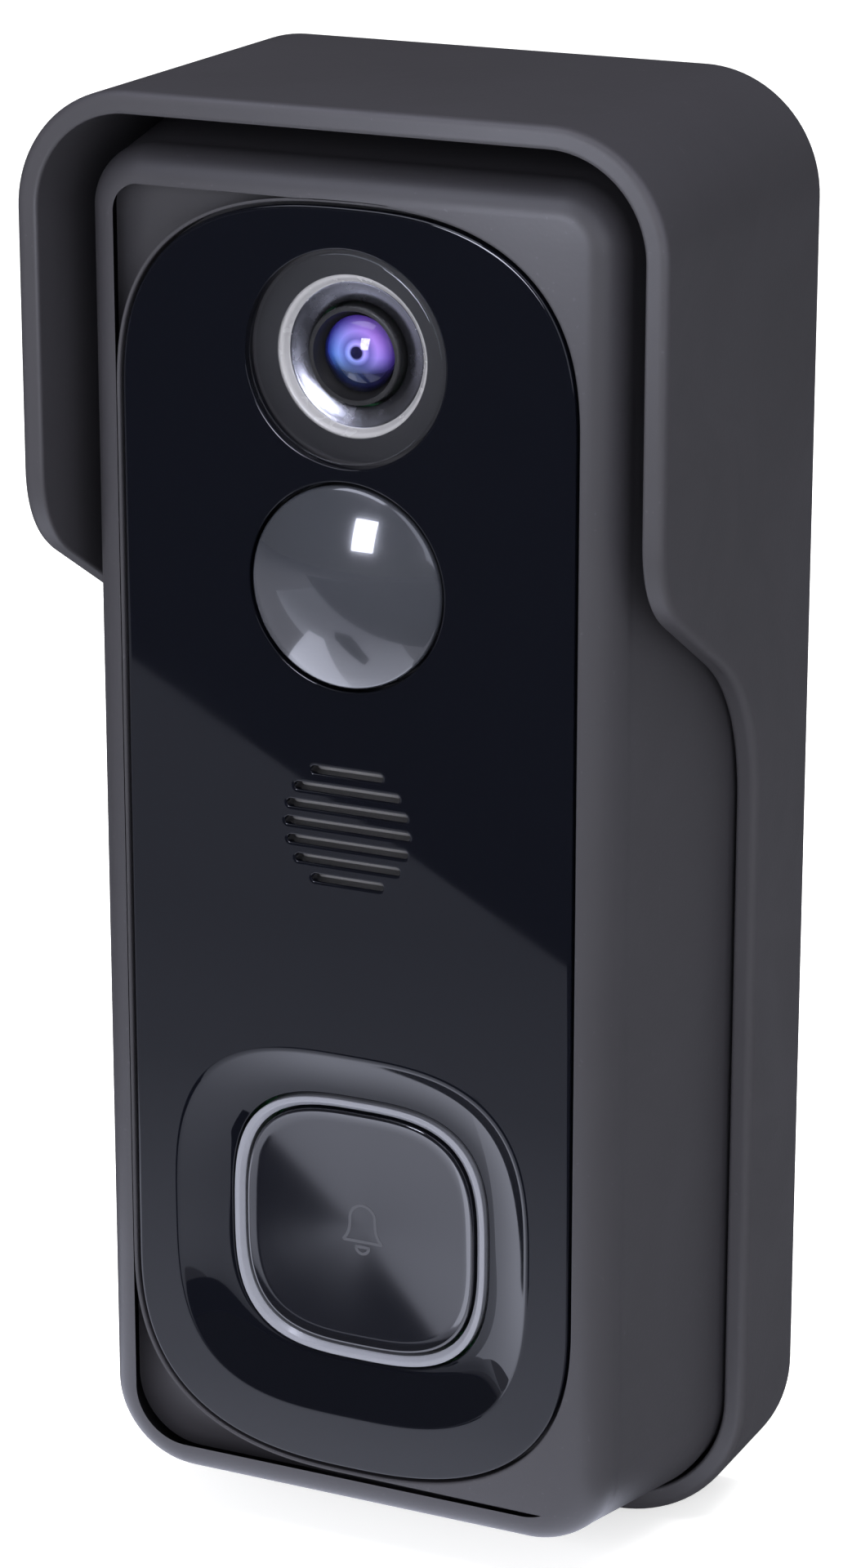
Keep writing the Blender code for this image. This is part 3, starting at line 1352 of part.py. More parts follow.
def build():
    make_rain_cover()
    make_bracket()
    fixed = set(PARTS.objects)
    make_front_housing()
    make_rear_housing()
    make_housing_seal()
    make_front_panel()
    make_camera()
    make_motion_sensor()
    make_sound()
    make_light_ring()
    make_ring_leds()
    make_boards()
    make_usb_socket()
    make_battery()
    make_screws()
    cap = make_button_cap()
    plunger = make_button_works()
    flap = make_flap()
    reset = make_reset_button()
    bpy.context.view_layer.update()
    moving = {cap, plunger, flap, reset}
    unit_pieces = [piece for piece in PARTS.objects if piece not in fixed | moving]
    unit = hang_on("unit", (0, 0, 0), unit_pieces)
    groups = (
        ("button", (0, BUTTON_FRONT, BUTTON_Z), cap),
        ("plunger", (0, PLUNGER_FRONT, BUTTON_Z), plunger),
        ("flap_hinge", (0, HINGE_OUT, HINGE_Z), flap),
        ("reset", (RESET_X, PORT_OUT, BOTTOM_AT_PORT), reset),
    )
    for name, place, piece in groups:
        pivot = hang_on(name, place, [piece])
        pivot.parent = unit


build()
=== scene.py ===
"""Looks of a battery video doorbell in its rain cover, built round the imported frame.

"Out" is a distance in front of the wall, so a point at out = 0.010 has y = -0.010. Outlines are
arrays of x and z. Every new piece is a surface worked out from its formula, in metres.
"""

import json
import math

import bmesh
import bpy
import numpy as np
from bpy.props import FloatProperty, FloatVectorProperty, IntProperty, PointerProperty
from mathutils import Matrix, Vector
from mathutils.geometry import tessellate_polygon


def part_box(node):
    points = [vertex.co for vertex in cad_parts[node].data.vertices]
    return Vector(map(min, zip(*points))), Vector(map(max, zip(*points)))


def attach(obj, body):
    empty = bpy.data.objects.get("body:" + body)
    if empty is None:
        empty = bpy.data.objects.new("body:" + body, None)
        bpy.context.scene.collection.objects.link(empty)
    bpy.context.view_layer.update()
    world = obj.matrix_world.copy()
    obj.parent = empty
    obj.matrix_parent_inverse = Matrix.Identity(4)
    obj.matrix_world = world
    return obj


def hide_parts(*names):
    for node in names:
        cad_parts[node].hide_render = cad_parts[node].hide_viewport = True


bl_info = {
    "name": "Video doorbell",
    "version": (1, 0, 0),
    "blender": (4, 5, 0),
    "location": "View3D > Sidebar > Doorbell",
    "description": "Builds a battery video doorbell in its rain cover, piece by piece",
    "category": "Add Mesh",
}

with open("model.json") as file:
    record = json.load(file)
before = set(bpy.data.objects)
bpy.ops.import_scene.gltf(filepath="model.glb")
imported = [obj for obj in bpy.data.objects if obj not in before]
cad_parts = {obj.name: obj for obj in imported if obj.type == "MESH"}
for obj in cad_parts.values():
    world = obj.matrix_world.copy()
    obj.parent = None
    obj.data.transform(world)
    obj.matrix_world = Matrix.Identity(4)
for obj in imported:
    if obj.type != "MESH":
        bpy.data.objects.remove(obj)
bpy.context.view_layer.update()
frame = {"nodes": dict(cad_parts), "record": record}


def out_of(node):
    """How far out a node starts and ends, counted from the wall."""
    low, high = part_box(node)
    return -high.y, -low.y


def middle(node):
    low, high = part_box(node)
    return (low + high) / 2


def half_width(node):
    low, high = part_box(node)
    return (high.x - low.x) / 2


# Places and sizes that the frame gives ----------------------------------------------------

GAP = 0.0003  # between pieces that rest on each other
PANEL_THICKNESS = 0.0016
COVER_LOW, COVER_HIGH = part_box("rain_cover")
UNIT_LOW, UNIT_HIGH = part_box("front_housing")
PANEL_LOW, PANEL_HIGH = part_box("front_panel")
FRONT_START, FRONT = out_of("front_housing")
DOME_FRONT = out_of("pir_dome")[1]
CAMERA_Z = middle("camera_window").z
SENSOR_Z = middle("pir_dome").z
SPEAKER_Z = middle("speaker").z
BUTTON_Z = middle("light_ring").z
WINDOW_RADIUS = half_width("camera_window")
WINDOW_BACK = out_of("camera_window")[0]
RING_RADIUS = half_width("light_ring")
RING_BACK, RING_FRONT = out_of("light_ring")
BUTTON_BACK, BUTTON_FRONT = out_of("button_cap")
CABLE_Z = middle("terminal_screw_1").z
PORT_OUT = sum(out_of("usb_socket")) / 2


def length(name, value, text):
    return FloatProperty(name=name, description=text, default=value, unit="LENGTH", precision=5)


def color(name, value, text):
    return FloatVectorProperty(
        name=name, description=text, default=value, size=3, min=0, max=1, subtype="COLOR"
    )


def angle(name, degrees, text):
    value = math.radians(degrees)
    return FloatProperty(name=name, description=text, default=value, subtype="ANGLE")


class CoverSizes(bpy.types.PropertyGroup):
    wall: length("Wall", 0.0022, "Thickness of the hood and rim")
    back: length("Back", 0.0018, "Thickness of the plate on the wall")
    hood_height: length("Hood height", 0.0430, "From the top down to where the edge turns back")
    hood_sweep: length("Hood sweep", 0.0149, "How much lower the edge is where it meets the rim")
    hood_bend: length("Hood bend", 0.0061, "Reach of the upper bend in the edge")
    rim_bend: length("Rim bend", 0.0109, "Reach of the lower bend in the edge")
    rim_depth: length("Rim depth", 0.0128, "How far the low rim stands out from the wall")
    top_radius: length("Top radius", 0.0118, "Radius of the two upper corners")
    bottom_radius: length("Bottom radius", 0.0145, "Radius of the two lower corners")
    outer_round: length("Outer edge", 0.0008, "Round on the outside of the front edge")
    inner_round: length("Inner edge", 0.0004, "Round on the inside of the front edge")
    cable_half: length("Cable hole width", 0.0100, "Half the width of the cable opening")
    cable_rise: length("Cable hole height", 0.0055, "Half the height of the cable opening")
    cable_corner: length("Cable hole corner", 0.0025, "Corner radius of the cable opening")
    wall_hole: length("Wall hole", 0.0022, "Radius of the two holes for wall screws")
    wall_hole_z: length("Wall hole place", 0.0500, "Height of those holes above the middle")
    screw_out: length("Screw place", 0.0078, "How far out the screw in the bottom slot is")


class HousingSizes(bpy.types.PropertyGroup):
    wall: length("Wall", 0.0020, "Thickness of the housing")
    top_radius: length("Top radius", 0.0092, "Radius of the two upper corners")
    bottom_radius: length("Bottom radius", 0.0119, "Radius of the two lower corners")
    taper: length("Taper", 0.0030, "How much each side comes in towards the front")
    taper_start: length("Taper start", 0.0135, "How far out the sides start to come in")
    fillet: length("Front fillet", 0.0038, "Radius between the sides and the front")
    pocket_round: length("Pocket edge", 0.00025, "Round on the edge of the panel's pocket")
    inner_front: length("Inner front", 0.0315, "How far out the inside of the front wall is")
    speaker_opening: length("Speaker opening", 0.0070, "Radius of the hole in front of the speaker")


class PanelSizes(bpy.types.PropertyGroup):
    end_height: length("End height", 0.0200, "Height of each curved end")
    end_curve: FloatProperty(name="End curve", description="Power of each curved end", default=2.6)
    edge_round: length("Edge round", 0.0003, "Round on the panel's front edge")
    hole_round: length("Hole round", 0.00020, "Round on the edges of the panel's holes")
    slots: IntProperty(name="Slots", description="Level slots in front of the speaker", default=7)
    slot_pitch: length("Slot pitch", 0.0018, "From one slot to the next")
    slot_width: length("Slot width", 0.0008, "Height of each slot")
    grille_radius: length("Grille radius", 0.0066, "Radius of the circle that the slots fill")
    dish_radius: length("Dish radius", 0.0189, "Half the width of the dish round the button")
    dish_depth: length("Dish depth", 0.0024, "How deep the dish is at the light ring")
    dish_back: length("Dish back", 0.0039, "How far back the dish's body reaches")
    dish_wall: length("Dish wall", 0.0012, "How much wider the dish's body is behind")
    dish_lip: length("Dish lip", 0.0003, "Round on the edge of the dish")


class ButtonSizes(bpy.types.PropertyGroup):
    curve: FloatProperty(name="Curve", description="Power of the outline's curve", default=3.1)
    ring_width: length("Ring width", 0.00095, "Width of the light ring")
    ring_ridge: length("Ring ridge", 0.0005, "Width of the light ring's raised outer part")
    ring_drop: length("Ring drop", 0.0005, "How much the ring slopes back towards the button")
    ring_round: length("Ring round", 0.00012, "Round on the light ring's front edges")
    edge_round: length("Edge round", 0.0003, "Round on the button's front edge")
    hollow: length("Hollow", 0.0008, "How much the button sinks in its middle")
    thickness: length("Thickness", 0.0013, "Thickness of the button without its stem")
    stem: length("Stem", 0.0016, "Radius of the stem that presses the switch")
    sign_width: length("Sign width", 0.0042, "Width of the bell sign")
    sign_line: length("Sign line", 0.0003, "Width of the bell sign's line")
    sign_rise: length("Sign rise", 0.00002, "How thick the bell sign is printed")


class EyeSizes(bpy.types.PropertyGroup):
    pane_round: length("Pane round", 0.00035, "Round on the window's front edge")
    print_inner: length("Print radius", 0.0077, "Inner radius of the black print on the window")
    mouth: length("Mouth", 0.0074, "Inner radius of the metal funnel at its front")
    step: length("Step", 0.0069, "Radius at the foot of the funnel's steep lip")
    step_depth: length("Step depth", 0.0007, "Depth of the funnel's steep lip")
    lens: length("Lens", 0.0036, "Radius of the front lens")
    lens_rise: length("Lens rise", 0.0012, "How much the front lens bulges")
    dome: length("Dome", 0.0098, "Radius of the motion sensor's dome")
    dome_round: length("Dome edge", 0.0004, "Round on the dome's edge")
    dome_wall: length("Dome wall", 0.0009, "Thickness of the motion sensor's dome")


class Finishes(bpy.types.PropertyGroup):
    cover: color("Cover", (0.0190, 0.0184, 0.0226), "Moulded plastic of the rain cover")
    housing: color("Housing", (0.0175, 0.0170, 0.0210), "Moulded plastic of the unit")
    panel: color("Panel", (0.0012, 0.0014, 0.0026), "Gloss of the front panel")
    button: color("Button", (0.0014, 0.0016, 0.0032), "Gloss of the call button")
    ring: color("Light ring", (0.100, 0.104, 0.127), "Milky light guide round the button")
    dome: color("Sensor dome", (0.017, 0.0185, 0.0240), "Translucent plastic of the sensor dome")
    funnel: color("Funnel", (0.36, 0.36, 0.40), "Satin metal round the lens")
    print: color("Print", (0.0055, 0.0057, 0.0075), "Print on the back of the camera's window")
    grain: FloatProperty(name="Grain", description="Strength of the moulded grain", default=0.10)


class Studio(bpy.types.PropertyGroup):
    azimuth: angle("Azimuth", 25.42, "How far the camera is to the right of straight ahead")
    elevation: angle("Elevation", 17.80, "How far the camera is above level")
    distance: length("Distance", 0.4644, "From the camera to what it looks at")
    lens: FloatProperty(name="Lens", description="Focal length in millimetres", default=109.57)
    aim_across: length("Aim across", 0.00202, "How far right of the middle the camera looks")
    aim_up: length("Aim up", 0.00451, "How far above the middle the camera looks")
    aim_out: length("Aim out", 0.0220, "How far out from the wall the camera looks")
    floor: color("Floor", (0.86, 0.86, 0.865), "Plain pale floor")


# Surfaces ---------------------------------------------------------------------------------


def spread(start, end, count):
    """Evenly spaced values strictly between two ends."""
    return np.linspace(start, end, count + 2)[1:-1]


def rounded_path(half, low, high, low_radius, high_radius, heights, steps=30, across=20):
    """A rounded rectangle run anticlockwise, as points and outward normals.

    Its sides are straight at the given heights, and each corner is a quarter circle.
    """
    turns = np.linspace(0, np.pi / 2, steps + 1)

    def straight(x, z, normal):
        points = np.stack(np.broadcast_arrays(x, z), -1).astype(float)
        return points, np.broadcast_to(np.array(normal, float), points.shape)

    def corner(x, z, radius, start):
        normal = np.stack([np.cos(turns + start), np.sin(turns + start)], -1)
        return np.array([x, z]) + radius * normal, normal

    top = half - high_radius
    bottom = half - low_radius
    runs = [
        straight(half, heights, (1, 0)),
        corner(top, high - high_radius, high_radius, 0),
        straight(spread(top, -top, across), high, (0, 1)),
        corner(-top, high - high_radius, high_radius, np.pi / 2),
        straight(-half, heights[::-1], (-1, 0)),
        corner(-bottom, low + low_radius, low_radius, np.pi),
        straight(spread(-bottom, bottom, across), low, (0, -1)),
        corner(bottom, low + low_radius, low_radius, 1.5 * np.pi),
    ]
    return np.concatenate([r[0] for r in runs]), np.concatenate([r[1] for r in runs])


def even(points, count):
    """A closed outline's points moved to even steps along it, with its outward normals."""
    ring = np.vstack([points, points[:1]])
    walked = np.concatenate([[0], np.cumsum(np.hypot(*np.diff(ring, axis=0).T))])
    at = np.linspace(0, walked[-1], count, endpoint=False)
    evened = np.stack([np.interp(at, walked, ring[:, k]) for k in (0, 1)], -1)
    along = np.roll(evened, -1, 0) - np.roll(evened, 1, 0)
    normal = np.stack([along[:, 1], -along[:, 0]], -1)
    return evened, normal / np.linalg.norm(normal, axis=1, keepdims=True)


def circle(z, radius, count=96):
    turns = np.linspace(0, 2 * np.pi, count, endpoint=False)
    return np.stack([radius * np.cos(turns), z + radius * np.sin(turns)], -1)


def squircle(half, count=192):
    """The button's outline: |x|^n + |z|^n = half^n about the button's middle, by polar angle."""
    power = bpy.context.scene.doorbell_button.curve
    turns = np.linspace(0, 2 * np.pi, count, endpoint=False)
    across, up = np.cos(turns), np.sin(turns)
    radius = half * (np.abs(across) ** power + np.abs(up) ** power) ** (-1 / power)
    return np.stack([radius * across, BUTTON_Z + radius * up], -1)


def panel_path(grow=0.0, count=420):
    """Straight sides between two half superellipses, as even points and normals."""
    sizes = bpy.context.scene.doorbell_panel
    turns = np.linspace(0, 2 * np.pi, 2400, endpoint=False)
    across, up = np.cos(turns), np.sin(turns)
    power = 2 / sizes.end_curve
    x = PANEL_HIGH.x * np.sign(across) * np.abs(across) ** power
    rise = sizes.end_height * np.sign(up) * np.abs(up) ** power
    base = np.where(up >= 0, PANEL_HIGH.z - sizes.end_height, PANEL_LOW.z + sizes.end_height)
    points, normals = even(np.stack([x, base + rise], -1), count)
    return points + normals * grow, normals


def slot_path(z, half, radius, steps=10):
    """A level slot with half-round ends."""
    turns = np.linspace(-np.pi / 2, np.pi / 2, steps + 1)
    right = np.stack([half - radius + radius * np.cos(turns), z + radius * np.sin(turns)], -1)
    left = np.stack([-right[:, 0], 2 * z - right[:, 1]], -1)
    return np.concatenate([right, left])


def ease(before, corner, after, reach, steps=6, hold=0.0001):
    """A corner of a profile made round by the curve (1-t)^2 a + 2t(1-t) corner + t^2 b.

    Here a and b lie a reach before and after the corner. One more point on each side of the
    curve keeps the surfaces next to it flat.
    """
    before, corner, after = (np.asarray(point, float) for point in (before, corner, after))
    way_in = (before - corner) / np.linalg.norm(before - corner)
    way_out = (after - corner) / np.linalg.norm(after - corner)
    t = np.linspace(0, 1, steps + 1)[:, None]
    start, end = corner + way_in * reach, corner + way_out * reach
    curve = (1 - t) ** 2 * start + 2 * t * (1 - t) * corner + t**2 * end
    return [start + way_in * hold, *curve, end + way_out * hold]


class Skin:
    """Patches of points and faces that are welded into one closed mesh."""

    def __init__(self):
        self.points = []
        self.faces = []
        self.count = 0

    def add(self, points, faces):
        self.points.append(np.asarray(points, float).reshape(-1, 3))
        self.faces += (np.asarray(faces) + self.count).tolist()
        self.count += len(self.points[-1])

    def rows(self, grid, around=False):
        """A grid of points joined by quads, each row closed on itself.

        With around, the last row joins the first one as well.
        """
        height, width = grid.shape[:2]
        row = np.arange(height if around else height - 1)[:, None]
        column = np.arange(width)[None, :]
        after = (column + 1) % width
        below = (row + 1) % height
        quads = [row * width + column, row * width + after, below * width + after]
        quads.append(below * width + column)
        self.add(grid, np.stack(quads, -1).reshape(-1, 4))

    def carry(self, points, normals, profile):
        """A profile of (inset, out) carried along an outline: point - inset * normal, at out."""
        inset, out = np.asarray(profile, float).T
        flat = points[None] - inset[:, None, None] * normals[None]
        self.rows(stand(flat, out[:, None]))

    def through(self, outline, profile, around=False):
        """An outline that is a function of its half width, run through (half width, out)."""
        self.rows(np.stack([stand(outline(half), out) for half, out in profile]), around)

    def fill(self, loops, out):
        """The flat area inside the first loop and outside the others, at one distance out."""
        flat = [[Vector((u, v, 0)) for u, v in loop] for loop in loops]
        points = np.concatenate(loops)
        self.add(stand(points, out), np.array(tessellate_polygon(flat)))

    def piece(self, name, body, slot, replaced=(), finish=None):
        """Welds the patches, turns their faces outwards and puts the piece on its body."""
        mesh = bpy.data.meshes.new(name)
        mesh.from_pydata(np.concatenate(self.points).tolist(), [], self.faces)
        weld(mesh)
        return put(name, mesh, body, FINISHES[finish or slot], replaced)


def stand(flat, out):
    """Points of an outline, given as x and z, stood up at a distance out."""
    x, z = flat[..., 0], flat[..., 1]
    return np.stack(np.broadcast_arrays(x, -np.asarray(out, float), z), -1)


def turn_profile(skin, profile, z, count=128, around=True):
    """A profile of (radius, out) turned about the level axis through x = 0 and z."""
    turns = np.linspace(0, 2 * np.pi, count, endpoint=False)
    radius, out = np.asarray(profile, float).T
    flat = radius[:, None, None] * np.stack([np.cos(turns), np.sin(turns)], -1)[None]
    flat = flat + np.array([0, z])
    skin.rows(stand(flat, out[:, None]), around)


def weld(mesh, reach=1e-7):
    shape = bmesh.new()
    shape.from_mesh(mesh)
    bmesh.ops.remove_doubles(shape, verts=shape.verts, dist=reach)
    bmesh.ops.dissolve_degenerate(shape, edges=shape.edges, dist=reach)
    bmesh.ops.recalc_face_normals(shape, faces=shape.faces)
    shape.to_mesh(mesh)
    shape.free()


def put(name, mesh, body, finish, replaced=(), angle=38):
    piece = bpy.data.objects.new(name, mesh)
    bpy.context.scene.collection.objects.link(piece)
    mesh.materials.clear()
    mesh.materials.append(finish)
    mesh.shade_smooth()
    mesh.set_sharp_from_angle(angle=math.radians(angle))
    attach(piece, body)
    if replaced:
        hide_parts(*replaced)
    return piece


def bake_modifiers(piece):
    """Applies a piece's modifiers to its mesh."""
    graph = bpy.context.evaluated_depsgraph_get()
    mesh = bpy.data.meshes.new_from_object(piece.evaluated_get(graph))
    piece.modifiers.clear()
    piece.data = mesh


def carve(piece, cutters, angle=38):
    """Cuts closed shapes, given as skins, out of a piece."""
    tools = []
    for index, skin in enumerate(cutters, 1):
        mesh = bpy.data.meshes.new(f"{piece.name}_cutter_{index}")
        mesh.from_pydata(np.concatenate(skin.points).tolist(), [], skin.faces)
        weld(mesh)
        tool = bpy.data.objects.new(mesh.name, mesh)
        bpy.context.scene.collection.objects.link(tool)
        step = piece.modifiers.new(tool.name, "BOOLEAN")
        step.object = tool
        step.operation = "DIFFERENCE"
        step.solver = "EXACT"
        tools.append(tool)
    bake_modifiers(piece)
    for tool in tools:
        bpy.data.objects.remove(tool, do_unlink=True)
    piece.data.set_sharp_from_angle(angle=math.radians(angle))


def bar(section, start, end):
    """A closed bar along x, with its section given as (out, z)."""
    skin = Skin()
    section = np.asarray(section, float)
    faces = [list(range(len(section)))]
    ends = [
        np.column_stack([np.full(len(section), x), -section[:, 0], section[:, 1]])
        for x in (start, end)
    ]
    skin.rows(np.stack(ends))
    skin.add(ends[0], faces)
    skin.add(ends[1], faces)
    return skin


def upright_rod(x, out, radius, low, high, count=48):
    """A closed round bar that stands up, for boring holes from below."""
    skin = Skin()
    turns = np.linspace(0, 2 * np.pi, count, endpoint=False)
    ring = np.stack([x + radius * np.cos(turns), -out + radius * np.sin(turns)], -1)
    level = [np.column_stack([ring, np.full(count, z)]) for z in (low, high)]
    skin.rows(np.stack(level))
    skin.add(level[0], [list(range(count))])
    skin.add(level[1], [list(range(count))])
    return skin


# Materials --------------------------------------------------------------------------------


def add(tree, kind, inputs=None, **settings):
    """Adds a node. An input that is itself a socket is linked, any other is a value."""
    node = tree.nodes.new(kind)
    for name, value in settings.items():
        setattr(node, name, value)
    for name, value in (inputs or {}).items():
        if isinstance(value, bpy.types.NodeSocket):
            tree.links.new(value, node.inputs[name])
        else:
            node.inputs[name].default_value = value
    return node


def new_group(name, inputs, outputs):
    """An empty shader node group with named number inputs and number outputs."""
    group = bpy.data.node_groups.new(name, "ShaderNodeTree")
    for label, value in inputs.items():
        socket = group.interface.new_socket(label, in_out="INPUT", socket_type="NodeSocketFloat")
        socket.default_value = value
    for label in outputs:
        group.interface.new_socket(label, in_out="OUTPUT", socket_type="NodeSocketFloat")
    return group, add(group, "NodeGroupInput"), add(group, "NodeGroupOutput")


def grain_group():
    """Moulded grain: fine noise for the height, and slow noise for a drift in shade."""
    group, given, result = new_group("moulded_grain", {"Scale": 2200}, ("Height", "Drift"))
    place = add(group, "ShaderNodeTexCoord").outputs["Object"]
    fine = add(
        group,
        "ShaderNodeTexNoise",
        {"Vector": place, "Scale": given.outputs["Scale"], "Detail": 2, "Roughness": 0.6},
    )
    pits = add(group, "ShaderNodeTexVoronoi", {"Vector": place, "Scale": given.outputs["Scale"]})
    height = add(group, "ShaderNodeMath", {0: fine.outputs["Fac"], 1: pits.outputs["Distance"]})
    drift = add(group, "ShaderNodeTexNoise", {"Vector": place, "Scale": 38, "Detail": 3})
    group.links.new(height.outputs[0], result.inputs["Height"])
    group.links.new(drift.outputs["Fac"], result.inputs["Drift"])
    return group


def handling_group():
    """Signs of handling: soft smears, and dust as the rare peaks of a fine noise."""
    group, given, result = new_group("handling", {"Scale": 60, "Dust": 0.72}, ("Smear", "Dust"))
    place = add(group, "ShaderNodeTexCoord").outputs["Object"]
    smear = add(
        group,
        "ShaderNodeTexNoise",
        {"Vector": place, "Scale": given.outputs["Scale"], "Detail": 5, "Distortion": 0.8},
    )
    soft = add(group, "ShaderNodeMapRange", {0: smear.outputs["Fac"], 1: 0.35, 2: 0.75})
    fine = add(group, "ShaderNodeTexNoise", {"Vector": place, "Scale": 2600, "Detail": 0})
    top = add(group, "ShaderNodeMath", {0: given.outputs["Dust"], 1: 0.06})
    specks = add(
        group,
        "ShaderNodeMapRange",
        {0: fine.outputs["Fac"], 1: given.outputs["Dust"], 2: top.outputs[0]},
    )
    group.links.new(soft.outputs[0], result.inputs["Smear"])
    group.links.new(specks.outputs[0], result.inputs["Dust"])
    return group


def brushing_group():
    """Brushed or drawn metal: noise stretched into long streaks along x."""
    group, given, result = new_group("brushing", {"Scale": 900, "Stretch": 0.03}, ("Streak",))
    place = add(group, "ShaderNodeTexCoord").outputs["Object"]
    split = add(group, "ShaderNodeSeparateXYZ", {0: place})
    short = add(
        group,
        "ShaderNodeMath",
        {0: split.outputs["X"], 1: given.outputs["Stretch"]},
        operation="MULTIPLY",
    )
    stretched = add(
        group,
        "ShaderNodeCombineXYZ",
        {"X": short.outputs[0], "Y": split.outputs["Y"], "Z": split.outputs["Z"]},
    )
    streak = add(
        group,
        "ShaderNodeTexNoise",
        {"Vector": stretched.outputs[0], "Scale": given.outputs["Scale"], "Detail": 3},
    )
    group.links.new(streak.outputs["Fac"], result.inputs["Streak"])
    return group


def traces_group():
    """Circuit traces: thin borders between squarish cells, as a mask."""
    group, given, result = new_group("traces", {"Scale": 420, "Width": 0.05}, ("Trace",))
    place = add(group, "ShaderNodeTexCoord").outputs["Object"]
    near = {"Vector": place, "Scale": given.outputs["Scale"]}
    second, first = (
        add(group, "ShaderNodeTexVoronoi", near, feature=feature, distance="CHEBYCHEV")
        for feature in ("F2", "F1")
    )
    apart = {0: second.outputs["Distance"], 1: first.outputs["Distance"]}
    border = add(group, "ShaderNodeMath", apart, operation="SUBTRACT")
    mask = add(
        group,
        "ShaderNodeMath",
        {0: border.outputs[0], 1: given.outputs["Width"]},
        operation="LESS_THAN",
    )
    group.links.new(mask.outputs[0], result.inputs["Trace"])
    return group


GROUPS = {}


def effect(tree, name, **values):
    makers = {
        "moulded_grain": grain_group,
        "handling": handling_group,
        "brushing": brushing_group,
        "traces": traces_group,
    }
    if name not in GROUPS:
        GROUPS[name] = makers[name]()
    return add(tree, "ShaderNodeGroup", values, node_tree=GROUPS[name]).outputs


def blank(name, **plain):
    """A new material and its shader, with its plain settings made."""
    material = bpy.data.materials.new(name)
    material.use_nodes = True
    tree = material.node_tree
    shader = tree.nodes["Principled BSDF"]
    for label, value in plain.items():
        shader.inputs[label.replace("_", " ")].default_value = value
    return material, tree, shader


def opaque(tone):
    return (*tone, 1.0)


def shaded(tone, factor):
    return tuple(min(channel * factor, 1.0) for channel in tone)


def blend_color(tree, mask, low, high):
    """Mixes two colours by a mask that changes over the surface."""
    mix = add(tree, "ShaderNodeMix", {"Factor": mask}, data_type="RGBA")
    for socket, value in ((mix.inputs[6], low), (mix.inputs[7], high)):
        if isinstance(value, bpy.types.NodeSocket):
            tree.links.new(value, socket)
        else:
            socket.default_value = opaque(value)
    return mix.outputs[2]


def color_ramp(tree, mask, stops):
    """Runs a mask through colours that are given as (place, tone)."""
    ramp = add(tree, "ShaderNodeValToRGB", {"Fac": mask})
    elements = ramp.color_ramp.elements
    while len(elements) < len(stops):
        elements.new(0.5)
    for element, (at, tone) in zip(elements, stops):
        element.position = at
        element.color = opaque(tone)
    return ramp.outputs["Color"]


def round_lens(tree, right=0.0, up=0.0):
    """Places counted from the lens's axis, moved a little, and the distance from there."""
    place = add(tree, "ShaderNodeTexCoord").outputs["Object"]
    shift = {"Vector": place, "Location": (-right, 0, -CAMERA_Z - up), "Scale": (1, 0, 1)}
    centred = add(tree, "ShaderNodeMapping", shift).outputs[0]
    reach = add(tree, "ShaderNodeVectorMath", {0: centred}, operation="LENGTH")
    return centred, reach.outputs["Value"]


def set_range(tree, source, low, high, target):
    """Runs a mask from low to high into one of the shader's sockets."""
    spread_out = add(tree, "ShaderNodeMapRange", {0: source, 3: low, 4: high})
    tree.links.new(spread_out.outputs[0], target)


def set_bump(tree, shader, height, strength, depth):
    bump = add(
        tree, "ShaderNodeBump", {"Height": height, "Strength": strength, "Distance": depth}
    )
    tree.links.new(bump.outputs[0], shader.inputs["Normal"])


def moulded(name, tone, rough=0.5, scale=2200, strength=0.1):
    """Moulded plastic or rubber: fine grain, a slow drift in shade, smears and a little dust."""
    material, tree, shader = blank(name)
    grain = effect(tree, "moulded_grain", Scale=scale)
    marks = effect(tree, "handling", Scale=55, Dust=0.80)
    base = blend_color(tree, grain["Drift"], shaded(tone, 0.90), shaded(tone, 1.10))
    dusty = blend_color(tree, marks["Dust"], base, shaded(tone, 1.5))
    tree.links.new(dusty, shader.inputs["Base Color"])
    set_range(tree, marks["Smear"], rough - 0.04, rough + 0.05, shader.inputs["Roughness"])
    set_bump(tree, shader, grain["Height"], strength, 0.00004)
    return material


def glossy(name, tone, rough=0.06, **plain):
    """Polished plastic: smears and dust show in the gloss, and there is hardly any relief."""
    material, tree, shader = blank(name, **plain)
    marks = effect(tree, "handling", Scale=42, Dust=0.80)
    dusty = blend_color(tree, marks["Dust"], tone, shaded(tone, 1.6))
    tree.links.new(dusty, shader.inputs["Base Color"])
    set_range(tree, marks["Smear"], rough, rough + 0.03, shader.inputs["Roughness"])
    return material


def metal(name, tone, rough=0.3, scale=900, stretch=0.03, strength=0.08):
    """Brushed, drawn or plated metal with streaks in its colour and gloss."""
    material, tree, shader = blank(name, Metallic=1.0)
    streak = effect(tree, "brushing", Scale=scale, Stretch=stretch)["Streak"]
    base = blend_color(tree, streak, shaded(tone, 0.86), shaded(tone, 1.12))
    tree.links.new(base, shader.inputs["Base Color"])
    set_range(tree, streak, rough - 0.07, rough + 0.09, shader.inputs["Roughness"])
    set_bump(tree, shader, streak, strength, 0.00002)
    return material


